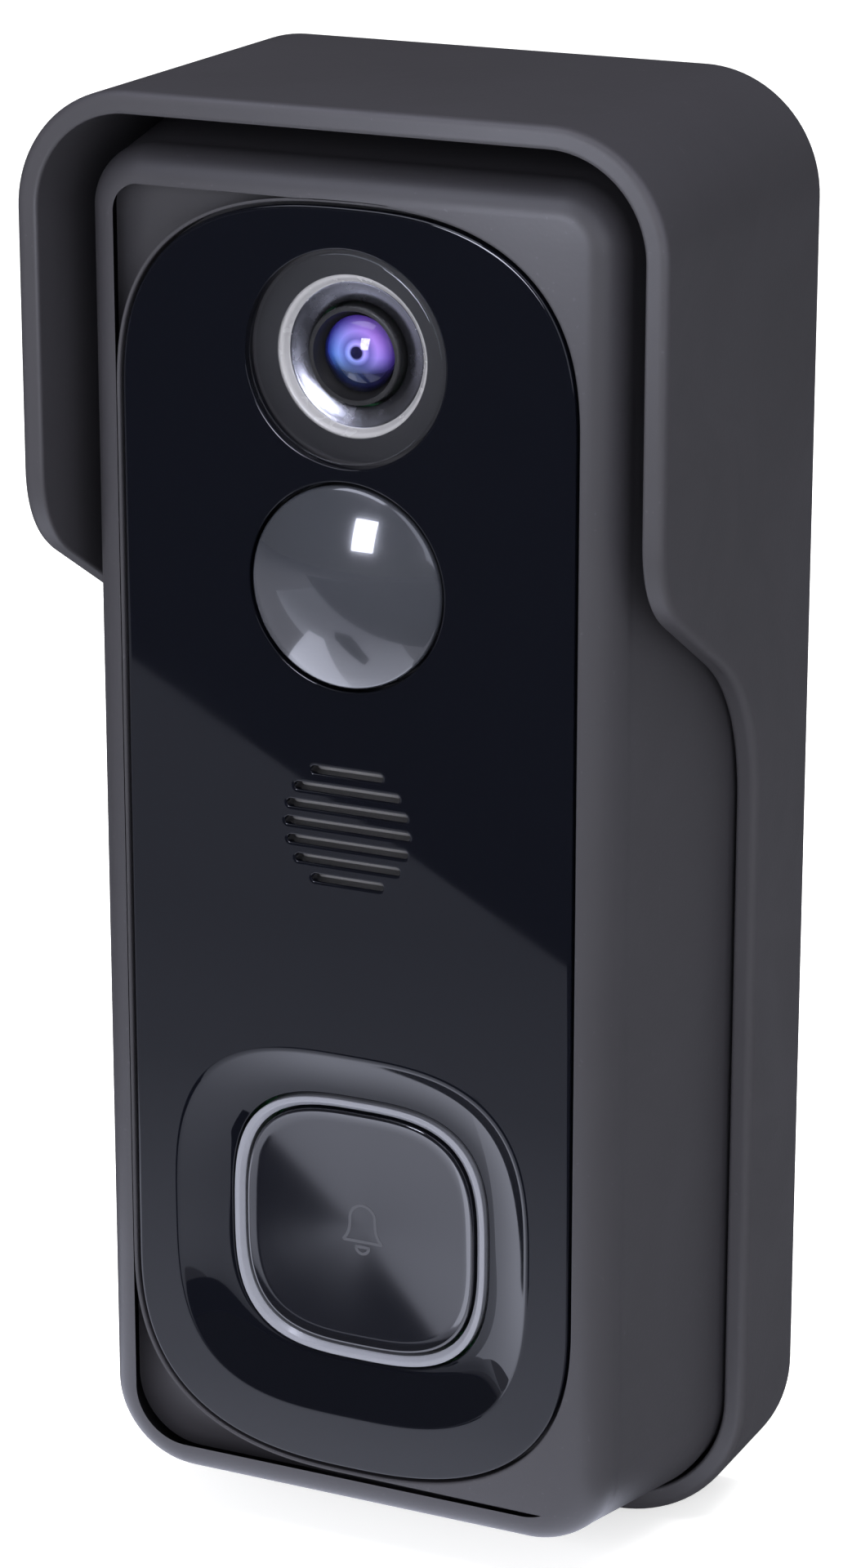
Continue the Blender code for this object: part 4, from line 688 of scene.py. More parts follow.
def funnel_metal_with_painted_highlight(name, tone, lip):
    """Drawn metal cone whose lip, outside the step's radius, is painted pale and not metallic: a
    painted highlight for the lip's reflection.
    """
    material = metal(name, tone, 0.25, 700, 1.0, 0.04)
    tree = material.node_tree
    shader = tree.nodes["Principled BSDF"]
    edge = bpy.context.scene.doorbell_eye.step
    reach = round_lens(tree)[1]
    # Outside the step's radius the colour turns to the pale painted highlight and the metal to
    # plain paint.
    ends = {0: reach, 1: edge - 0.00005, 2: edge + 0.00005}
    painted = add(tree, "ShaderNodeMapRange", ends)
    bare = add(tree, "ShaderNodeMapRange", {**ends, 3: 1.0, 4: 0.0})
    drawn = shader.inputs["Base Color"].links[0].from_socket
    mixed = add(tree, "ShaderNodeMix", {}, data_type="RGBA")
    tree.links.new(painted.outputs[0], mixed.inputs["Factor"])
    tree.links.new(drawn, mixed.inputs[6])
    mixed.inputs[7].default_value = opaque(lip)
    tree.links.new(mixed.outputs[2], shader.inputs["Base Color"])
    tree.links.new(bare.outputs[0], shader.inputs["Metallic"])
    return material


def board_green(name):
    """Circuit board: green lacquer over raised traces, with a slow drift in shade."""
    material, tree, shader = blank(name, Coat_Weight=0.4, Coat_Roughness=0.15)
    drift = effect(tree, "moulded_grain", Scale=900)["Drift"]
    trace = effect(tree, "traces", Scale=420, Width=0.06)["Trace"]
    lacquer = blend_color(tree, drift, (0.006, 0.050, 0.022), (0.010, 0.080, 0.034))
    base = blend_color(tree, trace, lacquer, (0.022, 0.150, 0.060))
    tree.links.new(base, shader.inputs["Base Color"])
    set_range(tree, drift, 0.30, 0.45, shader.inputs["Roughness"])
    set_bump(tree, shader, trace, 0.3, 0.00003)
    return material


def light_guide(name, tone):
    """Milky light guide: soft clouds in the colour, with a satin gloss."""
    material, tree, shader = blank(name, IOR=1.49, Coat_Weight=0.3, Coat_Roughness=0.1)
    cloud = effect(tree, "moulded_grain", Scale=1200)
    base = blend_color(tree, cloud["Drift"], shaded(tone, 0.85), shaded(tone, 1.1))
    tree.links.new(base, shader.inputs["Base Color"])
    set_range(tree, cloud["Height"], 0.22, 0.34, shader.inputs["Roughness"])
    return material


def sensor_plastic(name, tone):
    """Milky infra-red plastic: satin, with a faint moulded grain and a slow drift in tone."""
    coat = {"Coat_Weight": 1.0, "Coat_IOR": 1.7, "Coat_Roughness": 0.03}
    material, tree, shader = blank(name, IOR=1.7, **coat)
    grain = effect(tree, "moulded_grain", Scale=1500)
    marks = effect(tree, "handling", Scale=70, Dust=0.76)
    base = blend_color(tree, grain["Drift"], shaded(tone, 0.94), shaded(tone, 1.06))
    tree.links.new(base, shader.inputs["Base Color"])
    set_range(tree, marks["Smear"], 0.14, 0.22, shader.inputs["Roughness"])
    set_bump(tree, shader, grain["Height"], 0.05, 0.00002)
    return material


def window_glass(name):
    """Clear coated pane: it shows only what the gloss of glass reflects, more at the rim."""
    material, tree, shader = blank(name, Metallic=1.0, Base_Color=opaque((1, 1, 1)))
    marks = effect(tree, "handling", Scale=120, Dust=0.8)
    set_range(tree, marks["Smear"], 0.015, 0.05, shader.inputs["Roughness"])
    gloss = add(tree, "ShaderNodeFresnel", {"IOR": 1.45})
    inside = add(tree, "ShaderNodeNewGeometry").outputs["Backfacing"]
    outer = add(tree, "ShaderNodeMath", {0: 1.0, 1: inside}, operation="SUBTRACT")
    shares = {0: gloss.outputs[0], 1: outer.outputs[0]}
    shown = add(tree, "ShaderNodeMath", shares, operation="MULTIPLY")
    tree.links.new(shown.outputs[0], shader.inputs["Alpha"])
    return material


def lens_with_painted_reflection(name):
    """Front lens: its base colour is a painted reflection, rings of coloured light round a dark
    pupil, cyan towards the lower left and pink towards the upper right, fading dark towards the
    bottom.
    """
    material, tree, shader = blank(
        name, Roughness=0.05, Coat_Weight=0.5, Coat_Roughness=0.02, Specular_IOR_Level=0.5
    )
    centred, reach = round_lens(tree, 0.0002, 0.0003)
    radius = bpy.context.scene.doorbell_eye.lens
    far = add(tree, "ShaderNodeMapRange", {0: reach, 2: radius})
    # Rings of painted reflection, from the dark pupil out to the lens's rim.
    stops = (
        (0.00, (0.004, 0.004, 0.012)),
        (0.15, (0.006, 0.005, 0.024)),
        (0.22, (0.240, 0.230, 0.460)),
        (0.36, (0.080, 0.080, 0.210)),
        (0.55, (0.170, 0.160, 0.360)),
        (0.76, (0.085, 0.080, 0.240)),
        (0.93, (0.022, 0.014, 0.110)),
        (1.00, (0.004, 0.003, 0.030)),
    )
    rings = color_ramp(tree, far.outputs[0], stops)
    # The painted reflection turns cyan towards the lower left and pink towards the upper right.
    side = add(tree, "ShaderNodeSeparateXYZ", {0: centred})
    lean = add(
        tree,
        "ShaderNodeMath",
        {0: side.outputs["X"], 1: side.outputs["Z"]},
        operation="ADD",
    )
    turn = add(tree, "ShaderNodeMapRange", {0: lean.outputs[0], 1: -radius, 2: radius})
    painted_reflection_hue = blend_color(tree, turn.outputs[0], (0.06, 0.72, 0.95), (1.0, 0.40, 0.86))
    hued_painted_reflection = add(tree, "ShaderNodeMix", {"Factor": 0.75}, data_type="RGBA", blend_type="MULTIPLY")
    tree.links.new(rings, hued_painted_reflection.inputs[6])
    tree.links.new(painted_reflection_hue, hued_painted_reflection.inputs[7])
    # Darker towards the bottom: the painted reflection fades out there.
    foot = add(
        tree,
        "ShaderNodeMapRange",
        {0: side.outputs["Z"], 1: -0.55 * radius, 2: -0.10 * radius, 3: 0.12, 4: 1.0},
    )
    deep = add(tree, "ShaderNodeMix", {"Factor": 1.0}, data_type="RGBA", blend_type="MULTIPLY")
    tree.links.new(hued_painted_reflection.outputs[2], deep.inputs[6])
    tree.links.new(foot.outputs[0], deep.inputs[7])
    tree.links.new(deep.outputs[2], shader.inputs["Base Color"])
    return material


def make_finishes():
    """One material for each slot of the record, and one each for the sign and the print."""
    looks = bpy.context.scene.doorbell_finishes
    cover, housing = tuple(looks.cover), tuple(looks.housing)
    panel, button = tuple(looks.panel), tuple(looks.button)
    depth = looks.grain
    return {
        "cover_plastic": moulded("cover_plastic", cover, 0.50, strength=depth),
        "housing_plastic": moulded("housing_plastic", housing, 0.46, strength=depth),
        "bracket_plastic": moulded("bracket_plastic", (0.020, 0.020, 0.022), 0.6, 1500),
        "panel_gloss": glossy("panel_gloss", panel, 0.025, Specular_IOR_Level=0.55),
        "button_gloss": glossy("button_gloss", button, 0.09, Specular_IOR_Level=1.0, IOR=1.65),
        "sign_ink": glossy("sign_ink", (0.030, 0.031, 0.038), 0.22),
        "light_guide": light_guide("light_guide", tuple(looks.ring)),
        "window_glass": window_glass("window_glass"),
        "window_print": moulded("window_print", tuple(looks.print), 0.42, 3000, 0.03),
        # The lens's colours are a painted reflection.
        "lens_glass": lens_with_painted_reflection("lens_glass"),
        # The pale tone given last is the funnel lip's painted highlight.
        "bezel_metal": funnel_metal_with_painted_highlight("bezel_metal", tuple(looks.funnel), (0.17, 0.17, 0.185)),
        "barrel_black": moulded("barrel_black", (0.006, 0.006, 0.007), 0.42, 3000, 0.05),
        "sensor_dome": sensor_plastic("sensor_dome", tuple(looks.dome)),
        "can_metal": metal("can_metal", (0.62, 0.61, 0.58), 0.32, 1100, 0.04),
        "board_green": board_green("board_green"),
        "chip_black": moulded("chip_black", (0.010, 0.010, 0.011), 0.55, 3600, 0.12),
        "led_lens": light_guide("led_lens", (0.42, 0.40, 0.30)),
        "speaker_cone": moulded("speaker_cone", (0.012, 0.012, 0.013), 0.65, 1400, 0.3),
        "speaker_cloth": moulded("speaker_cloth", (0.10, 0.10, 0.11), 0.8, 5200, 0.5),
        "silicone": moulded("silicone", (0.016, 0.016, 0.018), 0.62, 1800, 0.08),
        "antenna_film": metal("antenna_film", (0.60, 0.36, 0.14), 0.38, 1300, 0.2),
        "contact_metal": metal("contact_metal", (0.72, 0.70, 0.64), 0.24, 1000, 0.05),
        "cell_wrap": moulded("cell_wrap", (0.030, 0.120, 0.250), 0.36, 700, 0.03),
        "screw_steel": metal("screw_steel", (0.58, 0.58, 0.57), 0.30, 1600, 0.2),
        "terminal_brass": metal("terminal_brass", (0.70, 0.50, 0.20), 0.30, 1400, 0.2),
    }


FINISHES = {}


# Pieces -----------------------------------------------------------------------------------


def cover_edge():
    """The front edge of the cover's side as heights, depths and forward directions.

    Two bends join a deep level hood, a slanting sweep and a shallow level rim. The direction
    is the edge's tangent turned by a quarter, away from the plastic.
    """
    sizes = bpy.context.scene.doorbell_cover
    top, foot = COVER_HIGH.z - sizes.top_radius, COVER_LOW.z + sizes.bottom_radius
    depth = -COVER_LOW.y
    hood = (COVER_HIGH.z - sizes.hood_height, depth)
    rim = (hood[0] - sizes.hood_sweep, sizes.rim_depth)
    run = [(z, depth) for z in np.linspace(top, hood[0] + sizes.hood_bend, 14)[:-1]]
    run += ease((top, depth), hood, rim, sizes.hood_bend, 16, 0)[1:-1]
    run += ease(hood, rim, (foot, rim[1]), sizes.rim_bend, 16, 0)[1:-1]
    run += [(z, rim[1]) for z in np.linspace(rim[0] - sizes.rim_bend, foot, 22)[1:]]
    run = np.array(run)
    along = np.gradient(run, axis=0)
    along /= np.linalg.norm(along, axis=1, keepdims=True)
    lean = np.stack([along[:, 1], -along[:, 0]], -1)
    return run[:, 0], run[:, 1], lean


class DOORBELL_OT_rain_cover(bpy.types.Operator):
    """Rain cover: a wall round an outline whose depth follows the swept hood"""

    bl_idname = "doorbell.rain_cover"
    bl_label = "Rain cover"

    def execute(self, context):
        sizes = context.scene.doorbell_cover
        heights, depths, leans = cover_edge()
        steps, across = 24, 20
        outline, normals = rounded_path(
            COVER_HIGH.x,
            COVER_LOW.z,
            COVER_HIGH.z,
            sizes.bottom_radius,
            sizes.top_radius,
            heights[::-1],
            steps,
            across,
        )
        hood, rim = depths[0], depths[-1]
        count = len(heights)
        depth = np.concatenate(
            [
                depths[::-1],
                np.full(2 * (steps + 1) + across, hood),
                depths,
                np.full(2 * (steps + 1) + across, rim),
            ]
        )
        level = np.tile([0.0, 1.0], (len(depth) - 2 * count, 1))
        half = len(level) // 2
        lean = np.concatenate([leans[::-1], level[:half], leans, level[half:]])
        wall, back = sizes.wall, sizes.back
        profile = ease((0, -0.01), (0, 0), (wall, 0), sizes.outer_round)
        profile += ease((0, 0), (wall, 0), (wall, -0.01), sizes.inner_round)
        inset, behind = np.array(profile).T
        flat = outline[None] - inset[:, None, None] * normals[None]
        flat[..., 1] += behind[:, None] * lean[None, :, 0]
        edge = stand(flat, depth[None] + behind[:, None] * lean[None, :, 1])
        inner = outline - wall * normals
        skin = Skin()
        skin.rows(np.concatenate([stand(outline, 0)[None], edge, stand(inner, back)[None]]))
        cable = rounded_path(
            sizes.cable_half,
            CABLE_Z - sizes.cable_rise,
            CABLE_Z + sizes.cable_rise,
            sizes.cable_corner,
            sizes.cable_corner,
            [CABLE_Z],
            8,
            4,
        )[0]
        holes = [cable]
        holes += [circle(side * sizes.wall_hole_z, sizes.wall_hole, 48) for side in (1, -1)]
        skin.fill([outline, *holes], 0)
        skin.fill([inner, *holes], back)
        for hole in holes:
            skin.rows(np.stack([stand(hole, 0), stand(hole, back)]))
        cover = skin.piece("weather_cover", "wall_mount", "cover_plastic", ["rain_cover"])
        low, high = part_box("security_screw")
        head_room, shank, head_seat = 0.0004, 0.0017, 0.0015
        head = (high.x - low.x) / 2 + head_room
        floor = COVER_LOW.z
        slots = []
        for reach, top in ((shank, floor + wall + GAP), (head, floor + head_seat)):
            start = sizes.screw_out - reach
            corners = ((start, floor - GAP), (0.02, floor - GAP), (0.02, top), (start, top))
            slots.append(bar(corners, -reach, reach))
        carve(cover, slots)
        return {"FINISHED"}


class DOORBELL_OT_front_housing(bpy.types.Operator):
    """Front housing: tapered sides, a round front edge, the panel's pocket and the port"""

    bl_idname = "doorbell.front_housing"
    bl_label = "Front housing"

    def execute(self, context):
        sizes = context.scene.doorbell_housing
        start, taper, wall = FRONT_START, sizes.taper, sizes.wall
        shoulder = FRONT - sizes.fillet
        rebate, step = wall / 2, start + 0.0010
        front_inset = taper + 0.0034
        outline, normals = rounded_path(
            UNIT_HIGH.x,
            UNIT_LOW.z,
            UNIT_HIGH.z,
            sizes.bottom_radius,
            sizes.top_radius,
            np.linspace(UNIT_LOW.z + sizes.bottom_radius, UNIT_HIGH.z - sizes.top_radius, 24),
        )
        turns = np.linspace(0, np.pi / 2, 13)
        fillet = np.stack(
            [
                front_inset + (taper - front_inset) * np.cos(turns),
                shoulder + (FRONT - shoulder) * np.sin(turns),
            ],
            -1,
        )
        skin = Skin()
        bend = sizes.taper_start
        outer = [(0, start), (0, bend - 0.0002), (0.00003, bend + 0.0002)]
        outer += [(taper - 0.00005, shoulder - 0.0003), *fillet]
        skin.carry(outline, normals, outer)
        inside = [(0, start), (rebate, start), (rebate, step), (wall, step)]
        inside += [(wall, sizes.taper_start), (wall + taper, shoulder)]
        inside += [(wall + taper, sizes.inner_front)]
        skin.carry(outline, normals, inside)
        floor = out_of("front_panel")[1] - PANEL_THICKNESS - GAP
        path, sideways = panel_path()
        round_ = sizes.pocket_round
        lip = ease((-0.001, FRONT), (-GAP, FRONT), (-GAP, floor), round_, hold=0.00006)
        skin.carry(path, sideways, [*lip, (-GAP, floor)])
        frame_edge = path - lip[0][0] * sideways
        skin.fill([outline - front_inset * normals, frame_edge], FRONT)
        dish = context.scene.doorbell_panel
        openings = [
            circle(CAMERA_Z, WINDOW_RADIUS - 0.0004),
            circle(SENSOR_Z, context.scene.doorbell_eye.dome + GAP),
            circle(SPEAKER_Z, sizes.speaker_opening),
            squircle(dish.dish_radius + dish.dish_wall + GAP),
        ]
        skin.fill([path + GAP * sideways, *openings], floor)
        skin.fill([outline - (wall + taper) * normals, *openings], sizes.inner_front)
        for opening in openings:
            skin.rows(np.stack([stand(opening, floor), stand(opening, sizes.inner_front)]))
        housing = skin.piece("front_shell", "doorbell", "housing_plastic", ["front_housing"])
        carve(housing, self.bottom_holes(sizes, shoulder), 30)
        return {"FINISHED"}

    def bottom_holes(self, sizes, shoulder):
        """The flap's seat, the port, the hinge and the two small holes in the bottom."""

        def bottom(out):
            rise = (out - sizes.taper_start) / (shoulder - sizes.taper_start)
            return UNIT_LOW.z + sizes.taper * rise

        pin_low, pin_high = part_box("flap_pin")
        hinge_out, hinge_z = -(pin_low.y + pin_high.y) / 2, (pin_low.z + pin_high.z) / 2
        flap = half_width("usb_flap") + GAP
        seat_start, seat_end = hinge_out - 0.0017, PORT_OUT + 0.0045
        seat = [(seat_start, bottom(seat_start) - 0.003), (seat_end, bottom(seat_end) - 0.003)]
        seat += [(out, bottom(out) + 0.0013) for out in (seat_end, seat_start)]
        deep = bottom(PORT_OUT) + 0.0060
        mouth = [(PORT_OUT - 0.0019, UNIT_LOW.z - GAP), (PORT_OUT + 0.0019, UNIT_LOW.z - GAP)]
        mouth += [(PORT_OUT + 0.0019, deep), (PORT_OUT - 0.0019, deep)]
        turns = np.linspace(0, 2 * np.pi, 32, endpoint=False)
        spot = np.array([hinge_out, hinge_z])
        ring = np.stack([np.cos(turns), np.sin(turns)], -1)
        through = bottom(PORT_OUT) + 0.0030
        reset = (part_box("reset_button")[0].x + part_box("reset_button")[1].x) / 2
        return [
            bar(seat, -flap, flap),
            bar(mouth, -0.0048, 0.0048),
            bar(spot + 0.0013 * ring, -flap, flap),
            bar(spot + 0.0006 * ring, pin_low.x, pin_high.x),
            upright_rod(reset, PORT_OUT, 0.0018, UNIT_LOW.z - GAP, through),
            upright_rod(-reset, PORT_OUT, 0.0006, UNIT_LOW.z - GAP, through),
        ]


class DOORBELL_OT_front_panel(bpy.types.Operator):
    """Front panel: gloss face with round edges, three kinds of hole and the button's dish"""

    bl_idname = "doorbell.front_panel"
    bl_label = "Front panel"

    def execute(self, context):
        sizes = context.scene.doorbell_panel
        back = FRONT - PANEL_THICKNESS
        edge, lip = sizes.edge_round, sizes.hole_round
        path, sideways = panel_path()
        skin = Skin()
        rim = [(0, back), *ease((0, back), (0, FRONT), (0.001, FRONT), edge)]
        skin.carry(path, sideways, rim)
        face = [path - rim[-1][0] * sideways]
        behind = [path]

        def hole(outline, half):
            """Runs a hole's wall from the face to the back and notes its two loops."""
            wall = ease((half + 0.001, FRONT), (half, FRONT), (half, back), lip, 4)
            skin.through(outline, [*wall, (half, back)])
            face.append(outline(wall[0][0]))
            behind.append(outline(half))

        hole(lambda half: circle(CAMERA_Z, half, 160), WINDOW_RADIUS + GAP)
        hole(lambda half: circle(SENSOR_Z, half, 160), context.scene.doorbell_eye.dome + GAP)
        for index in range(sizes.slots):
            rise = (index - (sizes.slots - 1) / 2) * sizes.slot_pitch
            reach = math.sqrt(sizes.grille_radius**2 - rise**2)
            middle_z, extra = SPEAKER_Z + rise, reach - sizes.slot_width / 2
            hole(
                lambda half, z=middle_z, more=extra: slot_path(z, half + more, half),
                sizes.slot_width / 2,
            )
        inner = RING_RADIUS + GAP
        falls = np.linspace(0, 1, 26)
        steep = math.radians(75)
        halves = sizes.dish_radius + (inner - sizes.dish_radius) * falls
        outs = FRONT - sizes.dish_depth * np.sin(falls * steep) / math.sin(steep)
        bowl = list(zip(halves, outs))
        brink = ease((halves[0] + 0.001, FRONT), bowl[0], bowl[2], sizes.dish_lip)
        deep = FRONT - sizes.dish_back
        throat = ease(bowl[-2], (inner, outs[-1]), (inner, deep), 0.00012, 4, 0.00004)
        outer = sizes.dish_radius + sizes.dish_wall
        bowl = [*brink, *bowl[3:-2], *throat, (inner, deep), (outer, deep), (outer, back)]
        skin.through(squircle, bowl)
        face.append(squircle(bowl[0][0]))
        behind.append(squircle(outer))
        skin.fill(face, FRONT)
        skin.fill(behind, back)
        skin.piece("gloss_panel", "doorbell", "panel_gloss", ["front_panel"])
        return {"FINISHED"}


class DOORBELL_OT_button(bpy.types.Operator):
    """Call button: the light ring, the hollow cap on its stem and the printed bell"""

    bl_idname = "doorbell.button"
    bl_label = "Button"

    def execute(self, context):
        sizes = context.scene.doorbell_button
        self.ring(sizes)
        self.cap(sizes)
        self.sign(sizes)
        return {"FINISHED"}

    def ring(self, sizes):
        outer, inner = RING_RADIUS, RING_RADIUS - sizes.ring_width
        ridge, low = outer - sizes.ring_ridge, RING_FRONT - sizes.ring_drop
        round_ = sizes.ring_round
        profile = [(outer, RING_BACK)]
        corners = ((outer, RING_BACK), (outer, RING_FRONT), (ridge, RING_FRONT), (inner, low))
        profile += ease(*corners[:3], round_, 4, 0.00002)
        profile += ease(*corners[1:], round_, 4, 0.00002)
        profile += [(inner, low), (inner, RING_BACK)]
        skin = Skin()
        skin.through(squircle, profile, around=True)
        skin.piece("glow_ring", "doorbell", "light_guide", ["light_ring"])

    def cap(self, sizes):
        half, front = half_width("button_cap"), BUTTON_FRONT
        back = front - sizes.thickness
        edge = sizes.edge_round
        brim = ease((0, front), (half, front), (half, back), edge, hold=0.00005)
        rows = [(share * brim[0][0], 0) for share in np.linspace(0, 1, 14)]
        rows = [(reach, front - sizes.hollow * (1 - (reach / half) ** 2)) for reach, _ in rows]
        dip = front - rows[-1][1]
        rows += [(reach, out - dip * (half - reach) / half) for reach, out in brim[1:]]
        rows += [(half, back)]
        skin = Skin()
        skin.through(squircle, rows)
        stem = circle(BUTTON_Z, sizes.stem, 48)
        skin.fill([squircle(half), stem], back)
        skin.rows(np.stack([stand(stem, back), stand(stem, BUTTON_BACK)]))
        skin.fill([stem], BUTTON_BACK)
        skin.piece("call_button", "button", "button_gloss", ["button_cap"])

    def face_out(self, flat, sizes):
        """How far out the hollow cap's face is at points given as x and z."""
        offset = np.abs(flat - np.array([0, BUTTON_Z]))
        reach = (offset**sizes.curve).sum(-1) ** (1 / sizes.curve)
        return BUTTON_FRONT - sizes.hollow * (1 - (reach / half_width("button_cap")) ** 2)

    def sign(self, sizes):
        """A bell in outline: a half-round crown, sides that flare as a cube, and a clapper."""
        unit = sizes.sign_width / 4.5
        crown = np.linspace(0, np.pi / 2, 20)
        falls = np.linspace(0, 1, 16)[1:]
        right = np.concatenate(
            [
                np.stack([1.45 * np.sin(crown), 1.1 + 1.5 * np.cos(crown)], -1),
                np.stack([1.45 + 0.8 * falls**3, 1.1 - 2.6 * falls], -1),
            ]
        )
        bell = np.concatenate([right, right[::-1] * [-1, 1]])[::-1]
        turns = np.linspace(np.pi, 2 * np.pi, 20)
        clapper = np.stack([0.75 * np.cos(turns), -2.1 + 0.75 * np.sin(turns)], -1)
        line, rise = sizes.sign_line / 2, sizes.sign_rise
        insets = np.array([-line, -line, line, line])
        lifts = np.array([-rise / 2, rise, rise, -rise / 2])
        skin = Skin()
        for shape in (bell, clapper):
            points, normals = even(shape * unit + [0, BUTTON_Z], 200)
            flat = points[None] - insets[:, None, None] * normals[None]
            skin.rows(stand(flat, self.face_out(flat, sizes) + lifts[:, None]), around=True)
        skin.piece("bell_sign", "button", "button_gloss", finish="sign_ink")


class DOORBELL_OT_camera(bpy.types.Operator):
    """Camera: the flat pane, its black print, the metal funnel, the barrel and the lens"""

    bl_idname = "doorbell.camera"
    bl_label = "Camera"

    def execute(self, context):
        sizes = context.scene.doorbell_eye
        reach, back = WINDOW_RADIUS, WINDOW_BACK
        pane = [(0, back), (reach, back)]
        pane += ease((reach, back), (reach, FRONT), (0, FRONT), sizes.pane_round) + [(0, FRONT)]
        self.turned("camera_pane", pane, "window_glass", ["camera_window"], around=False)
        near, far = back - 0.00006, back - 0.00002
        edge = reach - 0.00005
        ring = [(edge, near), (edge, far), (sizes.print_inner, far), (sizes.print_inner, near)]
        self.turned("window_print", ring, "window_glass", [], "window_print")
        bezel_back, bezel_front = out_of("camera_bezel")
        outer = half_width("camera_bezel")
        foot = bezel_front - sizes.step_depth
        throat = 0.0050
        funnel = [
            (outer, bezel_front - 0.0003),
            (outer, bezel_front),
            *ease((outer, bezel_front), (sizes.mouth, bezel_front), (sizes.step, foot), 0.0003),
            *ease((sizes.mouth, bezel_front), (sizes.step, foot), (throat, bezel_back), 0.0002),
            (throat + 0.0002, bezel_back + 0.0002),
            (throat, bezel_back),
            (throat + 0.0004, bezel_back),
            (sizes.step + 0.0003, foot - 0.0003),
        ]
        self.turned("lens_funnel", funnel, "bezel_metal", ["camera_bezel"])
        tube_back, tube = out_of("lens_barrel")
        wide, recess = half_width("lens_barrel"), sizes.lens + 0.0003
        barrel = [(wide, tube_back)]
        barrel += ease((wide, tube_back), (wide, tube), (recess, tube), 0.0002, 4)
        barrel += [
            (recess + 0.0003, tube),
            (recess + 0.0002, tube - 0.0004),
            (recess, tube - 0.0012),
            (recess - 0.0006, tube - 0.0024),
            (0.0020, tube - 0.0030),
            (0.0030, tube_back),
        ]
        self.turned("lens_tube", barrel, "barrel_black", ["lens_barrel"])
        apex = out_of("lens_element")[1]
        shares = np.linspace(0, 1, 25)
        lens = list(zip(sizes.lens * shares, apex - sizes.lens_rise * shares**2))
        lens += [(sizes.lens - 0.0005, apex - 0.0020), (0, apex - 0.0020)]
        self.turned("front_lens", lens, "lens_glass", ["lens_element"], around=False)
        return {"FINISHED"}

    def turned(self, name, profile, slot, replaced, finish=None, around=True):
        skin = Skin()
        turn_profile(skin, profile, CAMERA_Z, 160, around)
        skin.piece(name, "doorbell", slot, replaced, finish)


class DOORBELL_OT_speaker_cloth(bpy.types.Operator):
    """Dust cloth: a thin disc right behind the speaker's slots"""

    bl_idname = "doorbell.speaker_cloth"
    bl_label = "Speaker cloth"

    def execute(self, context):
        reach = context.scene.doorbell_housing.speaker_opening - 0.0001
        back = FRONT - PANEL_THICKNESS
        skin = Skin()
        near, far = back - 0.0001, back - 0.0003
        rim = [(0, far), (reach, far), (reach, near), (0, near)]
        turn_profile(skin, rim, SPEAKER_Z, 96, around=False)
        skin.piece("speaker_cloth", "doorbell", "speaker_cone", finish="speaker_cloth")
        return {"FINISHED"}


class DOORBELL_OT_sensor(bpy.types.Operator):
    """Motion sensor: a thin spherical cap on a short flanged collar"""

    bl_idname = "doorbell.sensor"
    bl_label = "Motion sensor"

    def execute(self, context):
        sizes = context.scene.doorbell_eye
        collar = out_of("pir_dome")[0]
        flange = half_width("pir_dome")
        inner = sizes.dome - sizes.dome_wall

        def cap(rise, radius, edge, steps):
            """A spherical cap's profile from its middle to its edge."""
            ball = (radius**2 + rise**2) / (2 * rise)
            turns = np.linspace(0, math.asin(radius / ball), steps)
            return np.stack([ball * np.sin(turns), edge + rise - ball * (1 - np.cos(turns))], -1)

        rise = DOME_FRONT - FRONT
        outside = cap(rise, sizes.dome, FRONT, 30)
        brim = ease(outside[-3], outside[-1], (sizes.dome, collar), sizes.dome_round, 6, 0.00005)
        profile = [*outside[:-3], *brim]
        profile += [(sizes.dome, collar + 0.0008), (flange, collar + 0.0008), (flange, collar)]
        profile += [(inner, collar), *cap(rise - 0.0004, inner, FRONT - 0.0005, 20)[::-1]]
        skin = Skin()
        turn_profile(skin, profile, SENSOR_Z, 160, around=False)
        skin.piece("motion_dome", "doorbell", "sensor_dome", ["pir_dome"])
        return {"FINISHED"}


class DOORBELL_OT_inner_parts(bpy.types.Operator):
    """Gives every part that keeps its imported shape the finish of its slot"""

    bl_idname = "doorbell.inner_parts"
    bl_label = "Inner parts"

    def execute(self, context):
        slots = {part["node"]: part["material_slot"] for part in frame["record"]["subparts"]}
        for node, part in frame["nodes"].items():
            if not part.material_slots:
                part.data.materials.append(FINISHES[slots[node]])
            for material_slot in part.material_slots:
                material_slot.material = FINISHES[slots[node]]
        return {"FINISHED"}


# Stage ------------------------------------------------------------------------------------


CARD_TINT = (0.81, 0.84, 1.0)  # a cool white
NEAR_GLOW = 2.1  # of the near card at its brightest


def card(name, corners, strength):
    """A flat sheet through its corners that only gloss can see: bright, or black at 0."""
    mesh = bpy.data.meshes.new(name)
    mesh.from_pydata(corners, [], [list(range(len(corners)))])
    sheet = bpy.data.objects.new(name, mesh)
    bpy.context.scene.collection.objects.link(sheet)
    material = bpy.data.materials.new(name)
    material.use_nodes = True
    shader = material.node_tree.nodes["Principled BSDF"]
    shader.inputs["Base Color"].default_value = opaque((0, 0, 0))
    shader.inputs["Specular IOR Level"].default_value = 0
    shader.inputs["Emission Color"].default_value = opaque(CARD_TINT)
    shader.inputs["Emission Strength"].default_value = strength
    mesh.materials.append(material)
    sheet.visible_camera = False
    sheet.visible_diffuse = False
    sheet.visible_shadow = False
    sheet.visible_transmission = False
    return sheet


def facing_card(name, target, direction, distance, width, height, strength):
    """A bright card at a distance from a target, square to the line between them."""
    way = Vector(direction).normalized()
    centre = Vector(target) + way * distance
    right = way.cross(Vector((0, 0, 1))).normalized() * width / 2
    up = right.normalized().cross(way) * height / 2
    corners = [centre - right - up, centre + right - up, centre + right + up, centre - right + up]
    return card(name, [tuple(corner) for corner in corners], strength)


